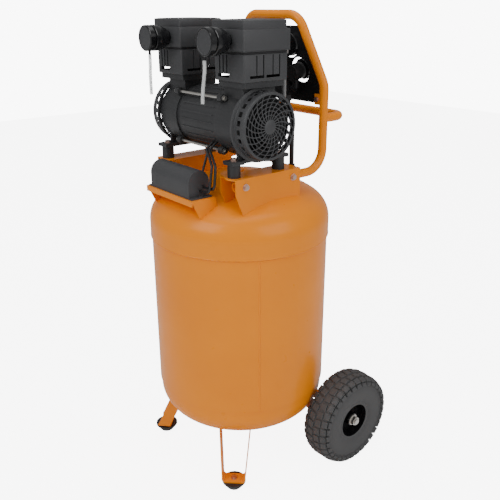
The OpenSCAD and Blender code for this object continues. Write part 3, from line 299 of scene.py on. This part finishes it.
def moulded(name, base, gloss=0.35):
    f = Finish(name)
    f.colour(f.ramp(f.noise(30.0, 3.0), [(0.3, tuple(c * 0.85 for c in base)), (0.7, base)]))
    f.rough(f.noise(40.0, 3.0) * 0.14 + gloss - 0.07)
    f.bump(f.noise(800.0, 2.0), 0.00004)
    return f.material


vinyl = clear_vinyl()
red_plastic = moulded("red_plastic", (0.45, 0.012, 0.010))
dark_inside = moulded("dark_inside", (0.008, 0.008, 0.009), gloss=0.7)
grey_tube = moulded("grey_tube", (0.22, 0.22, 0.22), gloss=0.4)

# %% Give each CAD node its finish
finish_of = {
    tank_paint: ["tank_shell", "top_head", "bottom_head", "leg_right", "leg_left", "axle_bracket_right",
                 "axle_bracket_left", "saddle_right", "saddle_left", "handle_frame", "rear_handle",
                 "box_bracket"],
    pink_zinc: ["frame_bolts"],
    zinc: ["axle_bolts", "tie_rods"],
    tyre_rubber: ["tyre_right", "tyre_left"],
    mount_rubber: ["rubber_feet", "isolators"],
    hose_rubber: ["motor_leads", "supply_hose"],
    rim_paint: ["rim_right", "rim_left"],
    panel_paint: ["control_panel", "pressure_switch", "manifold"],
    casting: ["stator_housing", "crankcase_right", "crankcase_left"],
    cover_plastic: ["cylinder_cover_right", "cylinder_cover_left", "head_cover_right", "head_cover_left",
                    "fan_guard_right", "fan_guard_left", "capacitor_box"],
    fan_plastic: ["fan_right", "fan_left"],
    silencer_paint: ["silencer_right", "silencer_left", "gauges", "regulator_knob"],
    steel: ["rotor_shaft", "motor_bearings", "safety_ring"],
    dark_inside: ["cylinder_right", "cylinder_left"],
    light_alloy: ["piston_right", "piston_left"],
    grey_tube: ["discharge_tube"],
    brass: ["check_valve", "coupler_sleeve_right", "coupler_sleeve_left", "drain_valve"],
    red_plastic: ["gauge_needle_right", "gauge_needle_left", "switch_lever", "drain_lever"],
    vinyl: ["breather_tube_right", "breather_tube_left"],
}
for material, names in finish_of.items():
    for name in names:
        slots = nodes[name].material_slots
        if slots:
            slots[0].material = material
        else:
            nodes[name].data.materials.append(material)
print("finished nodes:", sum(len(names) for names in finish_of.values()))


# %% [markdown]
# Small helpers for the modelling. Every operator works on what is selected, so each
# step starts with nothing selected. A finished piece is applied, so that its object
# sits at the origin and its place is in its mesh.

# %% Modelling helpers
def clear():
    bpy.ops.object.select_all(action="DESELECT")


def active(piece):
    clear()
    piece.select_set(True)
    bpy.context.view_layer.objects.active = piece


def finished(piece, name, material, body, angle=30):
    active(piece)
    for modifier in list(piece.modifiers):
        bpy.ops.object.modifier_apply(modifier=modifier.name)
    bpy.ops.object.transform_apply(location=True, rotation=True, scale=True)
    bpy.ops.object.mode_set(mode="EDIT")
    bpy.ops.mesh.select_all(action="SELECT")
    bpy.ops.mesh.normals_make_consistent(inside=False)
    bpy.ops.object.mode_set(mode="OBJECT")
    bpy.ops.object.shade_smooth_by_angle(angle=math.radians(angle))
    piece.name = piece.data.name = name
    piece.data.materials.clear()
    piece.data.materials.append(material)
    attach(piece, body)
    return piece


def joined(pieces):
    clear()
    for piece in pieces:
        piece.select_set(True)
    bpy.context.view_layer.objects.active = pieces[0]
    bpy.ops.object.join()
    return pieces[0]


def bevelled(piece, width, segments=3, angle=35):
    active(piece)
    modifier = piece.modifiers.new("edge", "BEVEL")
    modifier.width, modifier.segments = width, segments
    modifier.limit_method, modifier.angle_limit = "ANGLE", math.radians(angle)
    bpy.ops.object.modifier_apply(modifier=modifier.name)


# %% [markdown]
# The two breather tubes are the only free hoses: short clear tubes that hang from a
# spigot under each silencer. A tube is a closed wall swept along its route.

# %% Breather tubes
hang = [(0, 0, 0), (0, 0, -6), (0, 0, -12), (0, -0.2, -18), (-0.2, -0.5, -24), (-0.5, -1, -30),
        (-0.9, -1.6, -36), (-1.4, -2.2, -42), (-2, -2.8, -48), (-2.6, -3.3, -54), (-3.2, -3.7, -60),
        (-3.7, -4, -66), (-4.1, -4.2, -72), (-4.4, -4.3, -78), (-4.6, -4.4, -84), (-4.7, -4.4, -90)]
spigot_off = (-0.008, 0.007)
tube_r = 0.004
tube_wall = 0.0011
silencer_low = box_of("silencer_right")[0]
cover_low, cover_high = box_of("head_cover_right")
cylinder_x = (cover_low.x + cover_high.x) / 2
exit_z = box_of("breather_tube_right")[1].z


def tube_mesh(name, points, radius, wall, sides=20):
    bm = bmesh.new()
    rings = []
    for i, p in enumerate(points):
        ahead = points[min(i + 1, len(points) - 1)] - points[max(i - 1, 0)]
        along = ahead.normalized()
        u = along.cross(Vector((0, 1, 0))).normalized()
        v = along.cross(u)
        angles = [2 * math.pi * k / sides for k in range(sides)]
        rings.append([[bm.verts.new(p + (u * math.cos(a) + v * math.sin(a)) * r) for a in angles]
                      for r in (radius, radius - wall)])
    for low, high in zip(rings, rings[1:]):
        for k in range(sides):
            n = (k + 1) % sides
            bm.faces.new((low[0][k], low[0][n], high[0][n], high[0][k]))
            bm.faces.new((low[1][n], low[1][k], high[1][k], high[1][n]))
    for ring, flip in ((rings[0], True), (rings[-1], False)):
        for k in range(sides):
            n = (k + 1) % sides
            quad = (ring[0][k], ring[0][n], ring[1][n], ring[1][k])
            bm.faces.new(quad if flip else quad[::-1])
    bmesh.ops.recalc_face_normals(bm, faces=bm.faces)
    mesh = bpy.data.meshes.new(name)
    bm.to_mesh(mesh)
    bm.free()
    piece = bpy.data.objects.new(name, mesh)
    bpy.context.scene.collection.objects.link(piece)
    return piece


for side, name in ((1, "right"), (-1, "left")):
    start = Vector((side * (cylinder_x + spigot_off[0]), silencer_low.y + spigot_off[1], exit_z))
    route = [start + Vector((side * x, y, z)) / 1000 for x, y, z in hang]
    tube = tube_mesh("breather_hose_" + name, route, tube_r, tube_wall)
    tube.data.materials.append(vinyl)
    active(tube)
    bpy.ops.object.shade_smooth_by_angle(angle=math.radians(40))
    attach(tube, "stand")
    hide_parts("breather_tube_" + name)


# %% [markdown]
# The tyres are block-tread pneumatic tyres. The carcass is one closed ring, spun
# from half a section. One set of tread blocks, three for each half of the tread and
# the two halves half a pitch apart, is modelled and then copied round the tyre.

# %% Tyre carcass and tread
tyre_low, tyre_high = box_of("tyre_right")
wheel_r = (tyre_high.z - tyre_low.z) / 2
wheel_z = (tyre_high.z + tyre_low.z) / 2
wheel_y = (tyre_high.y + tyre_low.y) / 2
wheel_x = (tyre_high.x + tyre_low.x) / 2
tyre_w = tyre_high.x - tyre_low.x
bead_r = 0.0495
tread_depth = 0.0042
block_pairs = 34
block_root = 0.008
block_sink = 0.0017


def ring_about_x(name, section, turns=96):
    """A closed section of (x, radius) points, spun about the X axis through the origin."""
    mesh = bpy.data.meshes.new(name)
    count = len(section)
    mesh.from_pydata([(x, 0, r) for x, r in section], [(i, (i + 1) % count) for i in range(count)], [])
    piece = bpy.data.objects.new(name, mesh)
    bpy.context.scene.collection.objects.link(piece)
    active(piece)
    bpy.ops.object.mode_set(mode="EDIT")
    bpy.ops.mesh.select_all(action="SELECT")
    bpy.ops.mesh.spin(steps=turns, angle=2 * math.pi, center=(0, 0, 0), axis=(1, 0, 0))
    bpy.ops.mesh.select_all(action="SELECT")
    bpy.ops.mesh.remove_doubles(threshold=0.00002)
    bpy.ops.mesh.normals_make_consistent(inside=False)
    bpy.ops.object.mode_set(mode="OBJECT")
    return piece


def tyre_section():
    """Outer arc from bead to bead over the crown, then back inside the wall."""
    top = wheel_r - tread_depth
    half = tyre_w / 2 - 0.003
    mid = (top + bead_r) / 2
    outer = [(0.029, bead_r), (0.033, bead_r + 0.004)]
    for k in range(0, 13):
        a = math.radians(-58 + k * 10.2)
        flat = 0.62 if a > 0 else 0.70
        outer.append((half * (flat + (1 - flat) * math.cos(a)), mid + (top - mid) * 1.02 * math.sin(a)))
    outer += [(half * 0.5, top - 0.0012), (half * 0.25, top - 0.0004), (0, top)]
    full = outer + [(-x, r) for x, r in reversed(outer[:-1])]
    inner = [(-0.026, bead_r + 0.001), (-half * 0.72, mid), (-half * 0.5, top - 0.014),
             (half * 0.5, top - 0.014), (half * 0.72, mid), (0.026, bead_r + 0.001)]
    return full + inner


def tread_block(width, length, place, roll, skew):
    bpy.ops.object.select_all(action="DESELECT")
    bpy.ops.mesh.primitive_cube_add(size=1)
    block = bpy.context.active_object
    block.scale = (width, length, tread_depth + block_root)
    bpy.ops.object.transform_apply(scale=True)
    bpy.ops.object.mode_set(mode="EDIT")
    bpy.ops.mesh.select_all(action="DESELECT")
    bm = bmesh.from_edit_mesh(block.data)
    for face in bm.faces:
        face.select = face.normal.z > 0.9
    bmesh.update_edit_mesh(block.data)
    bpy.ops.transform.resize(value=(0.86, 0.84, 1))
    bpy.ops.mesh.bevel(offset=0.0012, segments=1)
    bpy.ops.object.mode_set(mode="OBJECT")
    block.rotation_euler = (0, roll, skew)
    block.location = place
    bpy.ops.object.transform_apply(location=True, rotation=True)
    return block


def tread_pair():
    top = wheel_r - (tread_depth + block_root) / 2 - block_sink
    return joined([
        tread_block(0.0215, 0.0205, (0.0112, 0, top), 0, 0.14),
        tread_block(0.0175, 0.0205, (0.0290, 0.004, top - 0.0034), 0.40, 0.05),
        tread_block(0.0100, 0.0190, (0.0362, 0.004, top - 0.0125), 1.05, 0),
        tread_block(0.0215, 0.0205, (-0.0112, 0.0119, top), 0, -0.14),
        tread_block(0.0175, 0.0205, (-0.0290, 0.0159, top - 0.0034), -0.40, -0.05),
        tread_block(0.0100, 0.0190, (-0.0362, 0.0159, top - 0.0125), -1.05, 0),
    ])


def whole_tyre(name):
    carcass = ring_about_x(name, tyre_section())
    pair = tread_pair()
    parts = [carcass]
    for k in range(block_pairs):
        copy = pair.copy()
        copy.data = pair.data.copy()
        bpy.context.scene.collection.objects.link(copy)
        copy.rotation_euler = (2 * math.pi * k / block_pairs, 0, 0)
        parts.append(copy)
    bpy.data.objects.remove(pair)
    for part in parts:
        active(part)
        bpy.ops.object.transform_apply(location=True, rotation=True)
    return joined(parts)


for side, name in ((1, "right"), (-1, "left")):
    tyre = whole_tyre("tyre_tread_" + name)
    tyre.location = (side * wheel_x, wheel_y, wheel_z)
    finished(tyre, "tyre_tread_" + name, tyre_rubber, "wheel_" + name, angle=32)
    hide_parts("tyre_" + name)
    print(tyre.name, "faces", len(tyre.data.polygons), "radius", round(wheel_r, 4))


# %% [markdown]
# Each fan guard is one moulding: a grille of thin swirling spokes and concentric
# rings round a flat hub, and a side wall with a row of rounded windows that ends in
# a flange on the crankcase. The wall is spun as a thin surface, its windows are
# taken out, and Solidify gives it a wall. One spoke is bent from a grid and copied.

# %% Fan guards
guard_low, guard_high = box_of("fan_guard_right")
shaft_y = (guard_low.y + guard_high.y) / 2
shaft_z = (guard_low.z + guard_high.z) / 2
flange_r = (guard_high.z - guard_low.z) / 2
guard_r = flange_r - 0.008
guard_back = guard_low.x
guard_face = guard_high.x
spoke_count = 22
ring_radii = (0.0265, 0.0355, 0.0445, 0.0535, 0.0625, 0.0710)


def window_wall(name, profile, turns, is_window):
    """An open profile of (x, radius) points spun about X, with some of its faces removed."""
    mesh = bpy.data.meshes.new(name)
    mesh.from_pydata([(x, 0, r) for x, r in profile], [(i, i + 1) for i in range(len(profile) - 1)], [])
    piece = bpy.data.objects.new(name, mesh)
    bpy.context.scene.collection.objects.link(piece)
    active(piece)
    bpy.ops.object.mode_set(mode="EDIT")
    bpy.ops.mesh.select_all(action="SELECT")
    bpy.ops.mesh.spin(steps=turns, angle=2 * math.pi, center=(0, 0, 0), axis=(1, 0, 0))
    bpy.ops.mesh.select_all(action="SELECT")
    bpy.ops.mesh.remove_doubles(threshold=0.00002)
    bpy.ops.mesh.normals_make_consistent(inside=False)
    bpy.ops.mesh.select_all(action="DESELECT")
    bm = bmesh.from_edit_mesh(mesh)
    for face in bm.faces:
        centre = face.calc_center_median()
        turn_at = (math.atan2(centre.y, centre.z) % (2 * math.pi)) / (2 * math.pi) * turns
        face.select = is_window(centre.x, math.hypot(centre.y, centre.z), int(turn_at))
    bmesh.update_edit_mesh(mesh)
    bpy.ops.mesh.delete(type="FACE")
    bpy.ops.object.mode_set(mode="OBJECT")
    return piece


def solid_wall(piece, thickness, offset=-1):
    active(piece)
    modifier = piece.modifiers.new("wall", "SOLIDIFY")
    modifier.thickness, modifier.offset = thickness, offset
    bpy.ops.object.modifier_apply(modifier=modifier.name)


def flat_ring(name, r, width, back, front, turns=88):
    chamfer = 0.0006
    low, high = r - width / 2, r + width / 2
    return ring_about_x(name, [(back, low), (front - chamfer, low), (front, low + chamfer),
                               (front, high - chamfer), (front - chamfer, high), (back, high)], turns)


def swirl_spoke(face):
    bpy.ops.object.select_all(action="DESELECT")
    bpy.ops.mesh.primitive_grid_add(x_subdivisions=1, y_subdivisions=10, size=1, rotation=(0, math.pi / 2, 0))
    spoke = bpy.context.active_object
    bpy.ops.object.transform_apply(rotation=True)
    bpy.ops.object.mode_set(mode="EDIT")
    bm = bmesh.from_edit_mesh(spoke.data)
    for vert in bm.verts:
        out, across = vert.co.y + 0.5, vert.co.z
        r = 0.015 + out * (guard_r - 0.0175)
        a = 0.62 * out ** 1.15
        side = across * 0.0023
        vert.co = (face - 0.0034, r * math.sin(a) + side * math.cos(a), r * math.cos(a) - side * math.sin(a))
    bmesh.update_edit_mesh(spoke.data)
    bpy.ops.mesh.select_all(action="SELECT")
    bpy.ops.mesh.normals_make_consistent(inside=False)
    bpy.ops.object.mode_set(mode="OBJECT")
    solid_wall(spoke, 0.003, offset=1 if spoke.data.polygons[0].normal.x > 0 else -1)
    return spoke


def copies_about_x(piece, count, first=0.0):
    made = []
    for k in range(count):
        copy = piece.copy()
        copy.data = piece.data.copy()
        bpy.context.scene.collection.objects.link(copy)
        copy.rotation_euler = (first + 2 * math.pi * k / count, 0, 0)
        active(copy)
        bpy.ops.object.transform_apply(location=True, rotation=True)
        made.append(copy)
    bpy.data.objects.remove(piece)
    return made


def fan_guard():
    mid = guard_back + 0.004
    profile = [(guard_back, flange_r), (mid, flange_r), (mid + 0.0004, guard_r + 0.0008),
               (mid + 0.0055, guard_r), (mid + 0.0080, guard_r), (guard_face - 0.0140, guard_r),
               (guard_face - 0.0115, guard_r), (guard_face - 0.0018, guard_r),
               (guard_face - 0.0004, guard_r - 0.0008), (guard_face, guard_r - 0.0022),
               (guard_face, guard_r - 0.0062)]
    low, high = mid + 0.0080, guard_face - 0.0140
    wall = window_wall("wall", profile, 120, lambda x, r, k: low < x < high and k % 5 > 1)
    solid_wall(wall, 0.0026)
    bevelled(wall, 0.0006, 2, 50)
    parts = [wall]
    parts += [flat_ring("ring", r, 0.0019, guard_face - 0.0032, guard_face - 0.0002) for r in ring_radii]
    parts += copies_about_x(swirl_spoke(guard_face), spoke_count)
    hub = ring_about_x("hub", [(guard_face - 0.0034, 0.0005), (guard_face, 0.0005), (guard_face, 0.0150),
                               (guard_face - 0.0008, 0.0162), (guard_face - 0.0034, 0.0162)], 64)
    parts.append(hub)
    return joined(parts)


guard_master = fan_guard()
for side, name in ((1, "right"), (-1, "left")):
    guard = guard_master if side < 0 else guard_master.copy()
    if side > 0:
        guard.data = guard_master.data.copy()
        bpy.context.scene.collection.objects.link(guard)
    else:
        guard.scale = (-1, 1, 1)
    guard.location = (0, shaft_y, shaft_z)
    finished(guard, "fan_grille_" + name, cover_plastic, "stand", angle=40)
    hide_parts("fan_guard_" + name)
    print(guard.name, "faces", len(guard.data.polygons))


# %% [markdown]
# The pump heads are two-tier moulded covers. Below them sits a narrower louvre block
# with comb-shaped openings. The blocks are boxes whose edges are bevelled, and the
# openings are cut right through the hollow wall with a boolean, because the walls
# are flat and the corners nearly sharp.

# %% Head covers
tier_h = 0.045
rear_step = 0.011


def block(low, high, edge, segments=3):
    clear()
    bpy.ops.mesh.primitive_cube_add(size=1, location=(Vector(low) + Vector(high)) / 2)
    piece = bpy.context.active_object
    piece.scale = Vector(high) - Vector(low)
    bpy.ops.object.transform_apply(location=True, scale=True)
    if edge:
        bevelled(piece, edge, segments)
    return piece


def crowned(piece, rise):
    """Lift the middle of the top face a little, as on a cover that sheds dust."""
    active(piece)
    top = max(v.co.z for v in piece.data.vertices)
    bpy.ops.object.mode_set(mode="EDIT")
    bpy.ops.mesh.select_all(action="DESELECT")
    bm = bmesh.from_edit_mesh(piece.data)
    for face in bm.faces:
        face.select = face.normal.z > 0.99 and face.calc_center_median().z > top - 0.0005
    bmesh.update_edit_mesh(piece.data)
    bpy.ops.mesh.inset(thickness=0.007)
    bpy.ops.transform.translate(value=(0, 0, rise))
    bpy.ops.mesh.inset(thickness=0.022)
    bpy.ops.transform.translate(value=(0, 0, rise * 0.6))
    bpy.ops.object.mode_set(mode="OBJECT")


def cut(piece, cutters):
    for cutter in cutters:
        active(piece)
        modifier = piece.modifiers.new("cut", "BOOLEAN")
        modifier.operation, modifier.object, modifier.solver = "DIFFERENCE", cutter, "EXACT"
        bpy.ops.object.modifier_apply(modifier=modifier.name)
        bpy.data.objects.remove(cutter)


def head_cover(low, high):
    split = low.z + tier_h
    lower = block(low, (high.x, high.y, split), 0.0016)
    groove = block((low.x + 0.0012, low.y + 0.0012, split - 0.002),
                   (high.x - 0.0012, high.y - rear_step + 0.001, split + 0.002), 0)
    upper = block((low.x + 0.0004, low.y + 0.0002, split + 0.0008),
                  (high.x - 0.0004, high.y - rear_step, high.z - 0.0018), 0.0022)
    crowned(upper, 0.0010)
    lip = block(low, (high.x, high.y, low.z + 0.003), 0.0008)
    return joined([lower, groove, upper, lip])


for side, name in ((1, "right"), (-1, "left")):
    low, high = box_of("head_cover_" + name)
    cover = head_cover(low, high)
    finished(cover, "head_top_" + name, cover_plastic, "stand", angle=30)
    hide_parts("head_cover_" + name)
    print(cover.name, "size", [round((b - a) * 1000, 1) for a, b in zip(low, high)])


# %% Louvre blocks
def comb_cutters(low, high):
    """Openings of a louvre block: a comb of three slots in front and two combs of two on each side."""
    found = []
    deep = 0.009
    foot = low.z + 0.0085
    root = low.z + 0.0135
    top = high.z - 0.003
    for y in (low.y, high.y):
        near, far = y - deep, y + deep
        found.append(block((low.x + 0.012, near, foot), (low.x + 0.052, far, low.z + 0.016), 0))
        for k in range(3):
            x = low.x + 0.0165 + k * 0.0125
            found.append(block((x, near, low.z + 0.015), (x + 0.0045, far, top), 0))
    for x in (low.x, high.x):
        near, far = x - deep, x + deep
        for start in (0.016, 0.062):
            y = low.y + start
            found.append(block((near, y, foot), (far, y + 0.040, low.z + 0.0145), 0))
            found.append(block((near, y + 0.0175, root), (far, y + 0.0205, top), 0))
            found.append(block((near, y + 0.0365, root), (far, y + 0.040, top), 0))
    return found


for side, name in ((1, "right"), (-1, "left")):
    low, high = box_of("cylinder_cover_" + name)
    louvre = block(low, high, 0.003)
    hollow = block(low + Vector((0.004, 0.004, -0.01)), high + Vector((-0.004, -0.004, 0.01)), 0)
    cut(louvre, [hollow] + comb_cutters(low, high))
    finished(louvre, "louvre_block_" + name, cover_plastic, "stand", angle=30)
    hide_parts("cylinder_cover_" + name)
    print(louvre.name, "faces", len(louvre.data.polygons))


# %% [markdown]
# The intake silencers are turned plastic cans: a matt end disc in a glossy ring, a
# groove, a second larger ring and a taper to the neck. Each is one spun section.

# %% Silencers
def placed(piece, turned, place):
    piece.rotation_euler = turned
    piece.location = place
    return piece


towards_front = (0, 0, math.pi / 2)
for side, name in ((1, "right"), (-1, "left")):
    low, high = box_of("silencer_" + name)
    face_y = low.y
    r = (high.x - low.x) / 2
    centre = (side * cylinder_x, face_y, high.z - r)
    can = ring_about_x("can", [
        (0.0, r - 0.0035), (0.0004, r - 0.0012), (0.0014, r - 0.0002), (0.0130, r), (0.0142, r - 0.0012),
        (0.0150, r - 0.0040), (0.0170, r - 0.0040), (0.0180, r - 0.0014), (0.0192, r),
        (0.0300, r), (0.0330, r - 0.0010), (0.0400, r - 0.0024), (0.0460, r - 0.0042),
        (0.0520, r - 0.0068), (0.0570, r - 0.0095), (0.0612, r - 0.0118), (0.0612, 0.006),
        (0.0020, 0.006), (0.0020, r - 0.0035)], 96)
    placed(can, towards_front, centre)
    finished(can, "silencer_can_" + name, silencer_paint, "stand", angle=28)
    disc = ring_about_x("disc", [(0.0022, 0.0004), (0.0016, 0.0004), (0.0016, r - 0.0045),
                                 (0.0009, r - 0.0036), (0.0022, r - 0.0030)], 80)
    placed(disc, towards_front, centre)
    finished(disc, "silencer_disc_" + name, cover_plastic, "stand", angle=28)
    spigot = ring_about_x("spigot", [(0, 0.0015), (0, 0.003), (0.003, 0.0034), (0.006, 0.003),
                                     (0.014, 0.003), (0.014, 0.0015)], 32)
    placed(spigot, (0, -math.pi / 2, 0), (centre[0] + side * spigot_off[0], face_y + spigot_off[1], low.z))
    finished(spigot, "silencer_spigot_" + name, silencer_paint, "stand", angle=28)
    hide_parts("silencer_" + name)
    print(can.name, "radius", round(r * 1000, 1))


# %% [markdown]
# A white floor with a soft studio light: one large key light from the front, a
# broad fill from the right, a light from above, and a pale world. The floor and the
# world are brighter to the camera than they are to the machine, so that the
# backdrop is white and the paint keeps its colour.

# %% Floor and light
bpy.ops.mesh.primitive_plane_add(size=12, location=(0, 0, 0))
floor = bpy.context.active_object
floor.name = floor.data.name = "floor"
floor_finish = Finish("floor", Roughness=0.55, Emission_Strength=7.0)
from_camera = floor_finish.add("ShaderNodeLightPath", "Is Camera Ray")
glow = floor_finish.mix(from_camera, (0, 0, 0), (1, 1, 1))
floor_finish.feed(floor_finish.shader.inputs["Emission Color"], glow)
patches = [(0.3, (0.95, 0.95, 0.95)), (0.7, (0.97, 0.97, 0.97))]
floor_finish.colour(floor_finish.ramp(floor_finish.noise(0.6, 2.0), patches))
floor.data.materials.append(floor_finish.material)


def area_light(name, place, aim, size, power):
    data = bpy.data.lights.new(name, "AREA")
    data.shape, data.size, data.energy = "SQUARE", size, power
    light = bpy.data.objects.new(name, data)
    light.location = place
    light.rotation_euler = (Vector(aim) - Vector(place)).to_track_quat("-Z", "Y").to_euler()
    bpy.context.scene.collection.objects.link(light)
    return light


area_light("key", (0.3, -3.2, 3.0), (0, 0, 0.6), 2.2, 66)
area_light("fill", (3.2, 0.4, 2.2), (0, 0, 0.6), 2.4, 42)
area_light("top", (0, 0, 3.6), (0, 0, 0.5), 2.5, 40)
world = bpy.data.worlds.new("studio")
world.use_nodes = True
sky = world.node_tree
shade = sky.nodes["Background"]
backdrop = sky.nodes.new("ShaderNodeBackground")
for surface, strength in ((shade, 0.38), (backdrop, 9.0)):
    surface.inputs["Color"].default_value = (1, 1, 1, 1)
    surface.inputs["Strength"].default_value = strength
by_ray = sky.nodes.new("ShaderNodeLightPath")
choose = sky.nodes.new("ShaderNodeMixShader")
sky.links.new(by_ray.outputs["Is Camera Ray"], choose.inputs[0])
sky.links.new(shade.outputs[0], choose.inputs[1])
sky.links.new(backdrop.outputs[0], choose.inputs[2])
sky.links.new(choose.outputs[0], sky.nodes["World Output"].inputs[0])
bpy.context.scene.world = world
